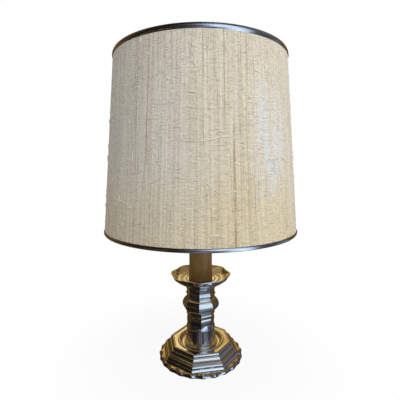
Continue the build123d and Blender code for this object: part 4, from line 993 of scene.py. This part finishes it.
# =================================================================================================
# Castings
# =================================================================================================
RIM_SCALLOPS = (24, radians(12.6), 2.2, 0.1)         # count, span, depth and crest, as in scallop
LIP_SCALLOPS = (SIDES, radians(31), 3.0, 0.4)
FOOT = rounds(walk((27.2, WELL_FLOOR), (0, 2.6, 0.308), (-0.8, 0, 0), (-3.4, 23.9, -0.0324), (0, 3.0, 0.3)))
LOWER_STEM = [
    *rounds(walk((23.3, LOWER_STEM_BOTTOM), (-2.5, 7.0, -0.095)), 20.8),
    *flats(walk((20.8, LOWER_STEM_BOTTOM + 7.0), (-0.1, 9.0, 0.05), (0.6, 3.4, -0.074), (0, 3.4, 0.22),
                (0, 3.4, 0))),
]
UPPER_STEM = flats(walk(
    (21.35, UPPER_STEM_BOTTOM),
    (6.35, 8.0, 0.1315), (0.3, 0, 0), (0, 5.2, 0.012), (-0.3, 0, 0), (-6.35, 10.2, 0.0987), (0, 2.2, 0),
    (0, 6.2, 0.2016), (0.9, 7.7, -0.0404),
))
# Name, CAD node, outside, bottom and top, radius of the hollow, turn in degrees, columns on each side.
STEM_CASTINGS = (
    ("stem_foot_casting", "stem_foot", FOOT, WELL_FLOOR, LOWER_STEM_BOTTOM, 20.0, 0.0, 24),
    ("lower_stem_casting", "lower_stem", LOWER_STEM, LOWER_STEM_BOTTOM, UPPER_STEM_BOTTOM, 17.8,
     LOWER_STEM_TURN, 24),
    ("upper_stem_casting", "upper_stem", UPPER_STEM, UPPER_STEM_BOTTOM, PAN_BOTTOM, 18.35,
     UPPER_STEM_TURN, 16),
)
PAN = [
    *rounds(walk((24.5, PAN_BOTTOM), (5.82, 6.36, -0.085), (14.15, 9.53, 0.0235), (0.83, 2.61, 0))),
    *lobed([(46.6, 135.3)], 0.35), *lobed([(47.9, 136.6)], 0.8), *lobed([(48.7, 137.9)], 1.0),
    *lobed([(48.6, 138.84), (47.2, 138.84)], 1.0), *lobed([(46.3, 137.9)], 0.95),
    *lobed([(44.6, 136.2)], 0.5),
    *rounds(walk(
        (41.8, 134.64),
        (-9.0, -4.3, -0.16), (-0.8, -0.8, 0), (-0.83, 0, 0), (-2.34, 0, 0.385), (-4.26, 0, 0),
        (-2.34, 0, 0.385), (-7.23, 0, 0), (0, -7.5, 0), (-9.7, 0, 0), (0, -5.9, 0),
    )),
]


def base_stations():
    """Rim, slope, ovolo, fillets, cove, crown bead, flat top, ring, well and the hollow underneath."""
    rim = [
        *lobed([(69.5, RIM_BOTTOM)], 0.5), *lobed([(69.3, 2.2)], 0.9), *lobed([(68.3, 3.8)], 1.3),
        *lobed([(66.6, 4.95)], 1.5), Station(0.0, 63.2, 5.5, 0.0, 0.7),
    ]
    mouldings = walk(
        (60.35, 5.9),
        (-1.75, 2.74, 0), (-0.8, 0, 0), (0, 0.8, 0),
        (-1.7, 3.6, 0.135), (-0.8, 0, 0), (0, 1.2, 0), (-0.8, 0, 0), (0, 1.2, 0),
        (-4.6, 4.6, -0.1), (-0.8, 0, 0), (0, 0.8, 0), (-0.8, 0, 0),
        (-3.43, 5.1, 0.214), (-1.47, -0.64, 0), (0, -0.96, 0),
    )
    ring_and_well = walk((38.6, 24.34), (-4.0, 0, 0.325), (-0.4, 0, 0), (-5.4, -3.4, -0.186))
    hollow = [(46.8, BASE_CEILING), (46.8, 14.24), (52.2, 14.24), (52.2, COVER_SEAT)]
    return [
        *rounds([(COVER_RECESS_RADIUS, RIM_BOTTOM)]), *rim, *flats(mouldings), *rounds(ring_and_well),
        *rounds([(ROD_HOLE, WELL_FLOOR), (ROD_HOLE, BASE_CEILING)]), *flats(hollow),
        *rounds([(COVER_RECESS_RADIUS, COVER_SEAT)]),
    ]


class LAMP_OT_base(Operator, LampOperator):
    """Make the cast base with its pie-crust rim and the cord inlet"""

    bl_idname = "lamp.base"
    bl_label = "Cast base"

    def execute(self, context):
        settings = context.scene.lamp_castings

        def bites(angle):
            return scallop(angle, 0.0, *RIM_SCALLOPS)

        base = loft("base_casting", base_stations(), 36, 0.0, bites, settings.edge_softness)
        cutters = [dowel("inlet_hole", INLET_RADIUS, INLET_HEIGHT, CUTTER_START, CUTTER_END),
                   dowel("inlet_recess", INLET_SEAT_RADIUS, INLET_HEIGHT, INLET_SEAT, CUTTER_END)]
        for cutter in cutters:
            modifier = base.modifiers.new(cutter.name, "BOOLEAN")
            modifier.object = cutter
            modifier.solver = "EXACT"
        bake_modifiers(base)
        for cutter in cutters:
            bpy.data.objects.remove(cutter)
        weigh_normals(base)
        install(base, silver_plate(settings), "silver_plate", "base_shell")
        return {"FINISHED"}


class LAMP_OT_stem(Operator, LampOperator):
    """Make the stem foot, the lower stem and the upper stem with its knop"""

    bl_idname = "lamp.stem"
    bl_label = "Stem castings"

    def execute(self, context):
        settings = context.scene.lamp_castings
        plate = silver_plate(settings)
        for name, node, outside, bottom, top, core, turn, per_side in STEM_CASTINGS:
            floor, ceiling = bottom + CASTING_WALL, top - CASTING_WALL
            inside = rounds([(ROD_HOLE, top), (ROD_HOLE, ceiling), (core, ceiling), (core, floor),
                             (ROD_HOLE, floor), (ROD_HOLE, bottom)])
            cast(name, node, outside + inside, plate, "silver_plate", per_side, radians(turn), None,
                 settings.edge_softness)
        return {"FINISHED"}


class LAMP_OT_pan(Operator, LampOperator):
    """Make the drip pan with its scalloped lip and the rings on its floor"""

    bl_idname = "lamp.pan"
    bl_label = "Drip pan"

    def execute(self, context):
        settings = context.scene.lamp_castings
        turn = radians(UPPER_STEM_TURN)

        def lip(angle):
            return scallop(angle, turn, *LIP_SCALLOPS)

        cast("drip_pan_casting", "drip_pan", PAN, silver_plate(settings), "silver_plate", 30, turn, lip,
             settings.edge_softness)
        return {"FINISHED"}


# =================================================================================================
# Candle sleeve, holder and fixings
# =================================================================================================
SLEEVE = rounds(walk((17.1, SLEEVE_BOTTOM), (1.8, 0, 0), (0.6, 0.8, 0.1), (-0.9, 37.2, -0.01), (0, 70.0, 0),
                     (-0.4, 0, 0), (-1.1, 0, 0)))
HOLDER = rounds([
    (14.1, 214.14), (16.4, 214.14), (16.4, 238.14), (19.6, 238.14), (19.6, 240.74), (THREAD_ROOT, 240.74),
    (THREAD_ROOT, 262.1), (THREAD_ROOT - 0.7, 262.74), (16.9, 262.74), (16.9, 256.74), (14.1, 256.74),
])
THREAD_TURNS = 9
HOLDER_BEVEL = 0.35
HOLDER_PARTS = (("lower_ring", "lower_shade_ring"), ("upper_ring", "upper_shade_ring"),
                ("holder_cup", "holder_cap"))


class LAMP_OT_sleeve(Operator, LampOperator):
    """Make the candle sleeve with its flared foot"""

    bl_idname = "lamp.sleeve"
    bl_label = "Candle sleeve"

    def execute(self, context):
        material = stored(bpy.data.materials, "candle_amber", candle_finish, context.scene.lamp_sleeve)
        cast("candle_tube", "candle_sleeve", SLEEVE, material, "sleeve_plastic", 20, 0.0, None, 0.45)
        return {"FINISHED"}


class LAMP_OT_holder(Operator, LampOperator):
    """Make the lamp holder, its screw thread and the two clamping rings"""

    bl_idname = "lamp.holder"
    bl_label = "Lamp holder"

    def execute(self, context):
        black = plain_finish("holder_black")
        cast("holder_shell", "holder_body", HOLDER, black, "holder_plastic", 12, 0.0, None, 0.3)
        thread = grown("holder_thread", ridge_tree(), {
            "Count": THREAD_TURNS, "Pitch": 2.2 * MM, "Radius": THREAD_ROOT * MM, "Bottom": 242.2 * MM,
            "Section": 0.6 * MM, "Material": black,
        })
        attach(thread, "stand")
        for name, node in HOLDER_PARTS:
            install(merged_copy(name, node, HOLDER_BEVEL), black, "holder_plastic", node)
        brass = plain_finish("contact_brass")
        paint_nodes(brass, "terminal_screws", "screw_shell", "centre_contact", "grub_screw")
        paint_nodes(plain_finish("holder_ceramic"), "holder_insert")
        return {"FINISHED"}


class LAMP_OT_fixings(Operator, LampOperator):
    """Finish the threaded tube, nuts, washers, ballast, cover, felt and cord bush"""

    bl_idname = "lamp.fixings"
    bl_label = "Fixings and underside"

    def execute(self, context):
        zinc = plain_finish("zinc_plating")
        paint_nodes(zinc, "central_rod", "base_washer", "base_nut", "pan_washer", "pan_nut")
        paint_nodes(plain_finish("cast_iron"), "ballast_plate")
        paint_nodes(plain_finish("cover_steel"), "base_cover")
        paint_nodes(plain_finish("tag_brass"), "earth_tag")
        bush = merged_copy("inlet_bush", "cord_bush", 0.25)
        install(bush, plain_finish("bush_plastic"), "bush_plastic", "cord_bush")
        felt = merged_copy("felt_disc", "felt_pad", 0.5)
        install(felt, felt_finish("green_felt", FELT_GREEN), "felt", "felt_pad")
        return {"FINISHED"}


# =================================================================================================
# Shade
# =================================================================================================
BARE_LOW, BARE_HIGH = 8, 10    # heights of the strips without slubs along the two edges, in millimetres
# Share of the density, length and thickness in millimetres, 0 upright to 1 level, wander in millimetres and
# its scale, rings of the mesh and what is added to the seed.
THREAD_KINDS = {
    "upright_slubs": (0.35, 5.0, 1.3, 0.0, 0.5, 160.0, 8, 0),
    "level_slubs": (0.8, 6.0, 1.35, 1.0, 0.9, 120.0, 8, 11),
    "long_threads": (0.10, 44.0, 1.35, 1.0, 6.0, 30.0, 32, 23),
    "drawn_threads": (0.05, 34.0, 1.0, 0.0, 1.6, 40.0, 24, 31),
    "knots": (0.16, 3.0, 2.2, 0.8, 0.4, 160.0, 8, 47),
}
TRIM_BULGE = 1.15              # how far the half-round bands stand out, in millimetres
# Name, CAD node, and heights above the shade's lower edge: outer edge, far side, end of the inner lip.
TRIMS = (
    ("top_band", "top_trim", SHADE_HEIGHT, SHADE_HEIGHT - 7.0, SHADE_HEIGHT - 2.0),
    ("bottom_band", "bottom_trim", 0.0, 5.2, 2.0),
)


def shade_radius(height, inset):
    """Radius of the shade's side at a height above its lower edge, this far inside its outline."""
    return SHADE_BOTTOM_RADIUS - SHADE_SLOPE * height - inset


def grown_sheet(name, tree, material, inset, columns, rows, lap=0.0, lap_step=0.0):
    """One layer of the shade, between the folds of its trims."""
    low, high = TRIM_FOIL, SHADE_HEIGHT - TRIM_FOIL
    sheet = grown(name, tree, {
        "Bottom Radius": shade_radius(low, inset) * MM, "Top Radius": shade_radius(high, inset) * MM,
        "Bottom": (SHADE_BOTTOM + low) * MM, "Height": (high - low) * MM, "Columns": columns, "Rows": rows,
        "Lap": lap, "Lap Step": lap_step * MM, "Material": material,
    })
    sheet.data.shade_smooth()
    return sheet


def map_cloth(piece):
    """A UV map that counts millimetres: round the shade from the front, and up from its lower edge."""
    layer = piece.data.uv_layers.new(name="UVMap")
    for face in piece.data.polygons:
        corners = [piece.data.vertices[piece.data.loops[k].vertex_index].co for k in face.loop_indices]
        angles = [atan2(corner.x, -corner.y) for corner in corners]
        wraps = max(angles) - min(angles) > pi
        for loop, corner, angle in zip(face.loop_indices, corners, angles):
            if wraps and angle < 0:
                angle += 2 * pi
            layer.data[loop].uv = (angle * CLOTH_UV_RADIUS, corner.z / MM - SHADE_BOTTOM)


def thicken(piece, thickness):
    """Give a sheet its thickness towards the inside."""
    modifier = piece.modifiers.new("thickness", "SOLIDIFY")
    modifier.thickness = thickness * MM
    modifier.offset = -1.0


class LAMP_OT_cloth(Operator, LampOperator):
    """Stretch the raw silk and its laminated lining round the shade"""

    bl_idname = "lamp.cloth"
    bl_label = "Silk and lining"

    def execute(self, context):
        settings = context.scene.lamp_shade
        silk = stored(bpy.data.materials, "raw_silk", silk_finish, settings)
        tree = tapered_sheet_tree()
        cloth = grown_sheet("silk_cloth", tree, silk, CLOTH_INSET, 361, 53, settings.lap, LAP_STEP)
        map_cloth(cloth)
        threads = self.spin_threads(cloth, settings)
        thicken(cloth, CLOTH_THICKNESS)
        install(cloth, silk, "shade_silk", "shade_fabric")
        for slub in threads:
            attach(slub, "shade")
        low, high = shade_radius(0, CLOTH_INSET) * MM, shade_radius(SHADE_HEIGHT, CLOTH_INSET) * MM
        slant = hypot(SHADE_HEIGHT * MM, low - high)
        area = pi * (low + high) * slant + settings.lap * slant
        2 * pi * low + settings.lap
        cream = plain_finish("lining_cream")
        lining = grown_sheet("lining_sheet", tree, cream, CLOTH_INSET + CLOTH_THICKNESS, 241, 9)
        thicken(lining, LINING_THICKNESS)
        install(lining, cream, "shade_lining", "shade_lining")
        return {"FINISHED"}

    def spin_threads(self, cloth, settings):
        """The slubs, long threads and knots that stand proud of the cloth."""
        yarn = stored(bpy.data.materials, "silk_yarn", yarn_finish, settings)
        tree = slub_tree()
        threads = []
        for name, (share, length, thickness, level, wander, swing, rings, seed) in THREAD_KINDS.items():
            upright = (1 - level) * length
            threads.append(grown(name, tree, {
                "Density": settings.slub_density * share, "Length": length * MM, "Thickness": thickness * MM,
                "Level": level, "Wander": wander * MM, "Wander Scale": swing, "Rings": rings,
                "Seed": settings.slub_seed + seed, "Bottom Radius": shade_radius(0, CLOTH_INSET) * MM,
                "Bottom": SHADE_BOTTOM * MM, "Slope": SHADE_SLOPE, "Material": yarn,
                "Lowest": (SHADE_BOTTOM + BARE_LOW + upright) * MM,
                "Highest": (SHADE_BOTTOM + SHADE_HEIGHT - BARE_HIGH - upright) * MM,
            }, cloth.data.copy()))
        return threads


def trim_stations(edge, far, back):
    """A half-round band with a returned inner lip, for one edge of the shade."""
    towards = 1 if far > edge else -1
    fold = edge + towards * TRIM_FOIL
    inner = CLOTH_INSET + CLOTH_THICKNESS + LINING_THICKNESS
    start = (shade_radius(edge, CLOTH_INSET), SHADE_BOTTOM + edge)
    run = shade_radius(far, CLOTH_INSET) - start[0]
    points = walk(start, (run, far - edge, TRIM_BULGE / abs(far - edge) * towards))
    points += [
        (shade_radius(height, inset), SHADE_BOTTOM + height)
        for height, inset in ((fold, CLOTH_INSET), (fold, inner), (back, inner), (back, inner + TRIM_FOIL),
                              (edge, inner + TRIM_FOIL))
    ]
    return rounds(points if towards > 0 else points[::-1])


class LAMP_OT_trims(Operator, LampOperator):
    """Fold the polished metal bands over both edges of the shade"""

    bl_idname = "lamp.trims"
    bl_label = "Shade trims"

    def execute(self, context):
        polished = plate_finish("polished_band", context.scene.lamp_castings, 0.35, 0.12)
        for name, node, edge, far, back in TRIMS:
            cast(name, node, trim_stations(edge, far, back), polished, "trim_metal", 44, 0.0, None, 0.2)
        return {"FINISHED"}


class LAMP_OT_carrier(Operator, LampOperator):
    """Coat the carrier and the ring wires of the shade"""

    bl_idname = "lamp.carrier"
    bl_label = "Shade wires"

    def execute(self, context):
        white = plain_finish("white_coating")
        for name, node in (("carrier_frame", "shade_carrier"), ("top_wire", "top_wire_ring")):
            install(merged_copy(name, node), white, "white_wire", node)
        return {"FINISHED"}


class LAMP_OT_bulb(Operator, LampOperator):
    """Finish the frosted bulb and its screw cap"""

    bl_idname = "lamp.bulb"
    bl_label = "Bulb"

    def execute(self, context):
        glass = pearl_finish("pearl_glass")
        install(merged_copy("bulb_envelope", "bulb_glass"), glass, "bulb_glass", "bulb_glass")
        cap = plain_finish("cap_aluminium")
        install(merged_copy("bulb_screw_cap", "bulb_cap"), cap, "bulb_cap_metal", "bulb_cap")
        paint_nodes(plain_finish("cap_glass"), "bulb_insulator")
        paint_nodes(plain_finish("solder"), "bulb_contact")
        return {"FINISHED"}


# =================================================================================================
# Studio
# =================================================================================================
FLOOR_RADIUS, DOME_RADIUS, TABLE_RADIUS = 12.0, 3.0, 2.9      # metres
STAGE_SEGMENTS = 96
TABLE_LIFT = 0.2                                              # millimetres
SENSOR_WIDTH, CAMERA_SHIFT, CLIP_START = 36.0, -0.0011, 0.01
LIGHT_TARGET = Vector((0, 0, 0.28))
# Size in metres, place and colour; the powers are settings.
LIGHTS = {
    "key": (0.9, (1.0, -1.35, 1.5), (1.0, 0.985, 0.96)),
    "fill": (1.2, (1.7, 0.1, 0.6), (0.85, 0.93, 1.0)),
    "bounce": (0.6, (-0.7, -0.9, 1.3), (1.0, 0.98, 0.96)),
}
BAR_COLOUR = (0.035, 0.030, 0.027)
WORLD_COLOUR = (0.98, 0.985, 1.04)
WHITE = (1, 1, 1)


def stage_material(name):
    """An empty material for the stage; returns it and its tree."""
    material = bpy.data.materials.new(name)
    material.use_nodes = True
    material.node_tree.nodes.clear()
    return material, material.node_tree


def seen_as_background(tree):
    """1 for a ray from the camera, from a reflection or through glass."""
    path = fields(tree.nodes.new("ShaderNodeLightPath").outputs)
    return path["Is Camera Ray"].either(path["Is Glossy Ray"]).either(path["Is Transmission Ray"])


def floor_material():
    """Pale floor that keeps the lamp's shadow and turns pure white away from it where it is seen."""
    material, tree = stage_material("pale_floor")
    place = object_coordinates(tree)
    whiteness = place.length().ramp(0.08, 0.30, 0.91, 1.0) * seen_as_background(tree)
    pale = blend(noise(place, (9.0, 9.0, 9.0), 1.0, 4.0), (0.86, 0.86, 0.85), (0.90, 0.90, 0.89))
    lit = result_of(tree, "ShaderNodeBsdfDiffuse", {"Color": pale})
    white = result_of(tree, "ShaderNodeEmission", {"Color": (*WHITE, 1), "Strength": 1.0})
    mixed = result_of(tree, "ShaderNodeMixShader", {0: whiteness, 1: lit, 2: white})
    put(tree, "ShaderNodeOutputMaterial", {0: mixed})
    return material


def room_ramp(azimuth, stops):
    """Colours round the room; each stop is a heading in degrees from the front towards +X, and a colour."""
    node = put(azimuth.tree, "ShaderNodeValToRGB", {0: azimuth})
    elements = node.color_ramp.elements
    for heading, colour in stops:
        elements.new(heading / 360 + 0.5).color = (*ROOM_TONES[colour], 1)
    elements.remove(elements[0])
    elements.remove(elements[-1])
    return Field(node.outputs[0])


def room_material():
    """The room that the plate reflects: a window at the front right, dark corners, warm walls behind and a
    painted contact shadow round the foot.
    """
    material, tree = stage_material("reflected_room")
    place = object_coordinates(tree)
    x, y, z = place.parts()
    heading = x.math("ARCTAN2", y * -1.0)
    reach = (place * LEVEL).length()
    rise = z.math("ARCTAN2", reach)
    wander = noise(combine(tree, heading, rise), (2.5, 7.0, 1), 4.0, 2.0)
    azimuth = (wander - 0.5).scaled(0.05, heading.scaled(1 / (2 * pi), 0.5))
    colour = blend(reach.ramp(0.23, 0.27), room_ramp(azimuth, ROOM_TABLE), room_ramp(azimuth, ROOM_FAR_TABLE))
    for stops, low, high in ((ROOM_WALLS, 0.03, 0.07), (ROOM_UPPER, 0.42, 0.56), (ROOM_CEILING, 0.80, 0.90)):
        colour = blend(rise.ramp(low, high), colour, room_ramp(azimuth, stops))
    bars = rise.contour(0.20, 0.045).either(rise.contour(0.63, 0.06))
    colour = blend(bars * 0.75, colour, BAR_COLOUR)
    # Painted contact shadow: the reflected table glows less close to the lamp's foot.
    painted_contact_shadow = reach.ramp(0.07, 0.13, 0.30, 1.0)
    glow = result_of(tree, "ShaderNodeEmission", {"Color": colour, "Strength": painted_contact_shadow})
    put(tree, "ShaderNodeOutputMaterial", {0: glow})
    return material


def reflected_only(piece, material):
    """Stage that shows in the plate only and throws no light or shadow."""
    piece.data.materials.append(material)
    piece.visible_camera = False
    piece.visible_diffuse = False
    piece.visible_shadow = False
    piece.visible_transmission = False


def disc(radius, lift=0.0):
    """A level disc, this many millimetres above the floor."""
    mesh = bmesh.new()
    bmesh.ops.create_circle(mesh, cap_ends=True, segments=STAGE_SEGMENTS, radius=radius)
    bmesh.ops.translate(mesh, verts=mesh.verts, vec=(0, 0, lift * MM))
    return mesh


class LAMP_OT_studio(Operator, LampOperator):
    """Set the camera, the floor, the lights and the room that the plate reflects"""

    bl_idname = "lamp.studio"
    bl_label = "Studio"

    def execute(self, context):
        settings = context.scene.lamp_studio
        scene = context.scene
        scene.view_settings.view_transform = "Standard"
        camera = bpy.data.objects.new("camera", bpy.data.cameras.new("camera"))
        scene.collection.objects.link(camera)
        camera.location = settings.camera_place
        camera.rotation_euler = (pi / 2 - settings.camera_pitch, settings.camera_roll,
                                 -settings.camera_heading)
        camera.data.lens = settings.lens
        camera.data.sensor_width = SENSOR_WIDTH
        camera.data.clip_start = CLIP_START
        camera.data.shift_x = CAMERA_SHIFT
        scene.camera = camera
        self.light_world(scene, settings.world_level)
        self.lay_floor()
        self.hang_lights(settings)
        self.build_room()
        return {"FINISHED"}

    def light_world(self, scene, level):
        """Even soft light; white where it is seen."""
        world = bpy.data.worlds.new("studio")
        scene.world = world
        world.use_nodes = True
        tree = world.node_tree
        tree.nodes.clear()
        seen = seen_as_background(tree)
        background = result_of(tree, "ShaderNodeBackground", {
            "Color": blend(seen, WORLD_COLOUR, WHITE), "Strength": seen.ramp(0.0, 1.0, level, 1.0),
        })
        put(tree, "ShaderNodeOutputWorld", {0: background})

    def lay_floor(self):
        """A wide pale floor."""
        floor = finished_mesh("floor", disc(FLOOR_RADIUS))
        floor.data.materials.append(floor_material())

    def hang_lights(self, settings):
        """Soft square lights turned to the lamp, left out of its reflections."""
        for name, (size, place, colour) in LIGHTS.items():
            data = bpy.data.lights.new(name, "AREA")
            data.energy = getattr(settings, f"{name}_power")
            data.size = size
            data.color = colour
            light = bpy.data.objects.new(name, data)
            bpy.context.scene.collection.objects.link(light)
            light.location = place
            light.rotation_euler = (LIGHT_TARGET - light.location).to_track_quat("-Z", "Y").to_euler()
            light.visible_glossy = False

    def build_room(self):
        """A dome and a table top that the plate reflects in place of the white background."""
        material = room_material()
        dome = bmesh.new()
        bmesh.ops.create_uvsphere(dome, u_segments=STAGE_SEGMENTS, v_segments=STAGE_SEGMENTS // 2,
                                  radius=DOME_RADIUS)
        reflected_only(finished_mesh("room_walls", dome), material)
        reflected_only(finished_mesh("room_table", disc(TABLE_RADIUS, TABLE_LIFT)), material)


# =================================================================================================
# Add-on
# =================================================================================================
SETTINGS = {"lamp_castings": CastingSettings, "lamp_sleeve": SleeveSettings, "lamp_shade": ShadeSettings,
            "lamp_studio": StudioSettings}
OPERATORS = (LAMP_OT_studio, LAMP_OT_base, LAMP_OT_stem, LAMP_OT_pan, LAMP_OT_sleeve, LAMP_OT_holder,
             LAMP_OT_fixings, LAMP_OT_cloth, LAMP_OT_trims, LAMP_OT_carrier, LAMP_OT_bulb)


class LAMP_PT_panel(Panel):
    """Lists the pieces of the lamp and their settings"""

    bl_idname = "LAMP_PT_panel"
    bl_label = "Candlestick lamp"
    bl_space_type = "VIEW_3D"
    bl_region_type = "UI"
    bl_category = "Candlestick lamp"

    def draw(self, context):
        for group in SETTINGS:
            settings = getattr(context.scene, group)
            box = self.layout.box()
            for name in settings.__annotations__:
                box.prop(settings, name)
        for operator in OPERATORS:
            self.layout.operator(operator.bl_idname)


def register():
    for item in (*SETTINGS.values(), *OPERATORS, LAMP_PT_panel):
        bpy.utils.register_class(item)
    for name, group in SETTINGS.items():
        setattr(bpy.types.Scene, name, PointerProperty(type=group))


def unregister():
    for name in SETTINGS:
        delattr(bpy.types.Scene, name)
    for item in (LAMP_PT_panel, *reversed(OPERATORS), *reversed(SETTINGS.values())):
        bpy.utils.unregister_class(item)


def main():
    register()
    for operator in OPERATORS:
        getattr(bpy.ops.lamp, operator.bl_idname.removeprefix("lamp."))()


if __name__ == "__main__":
    main()
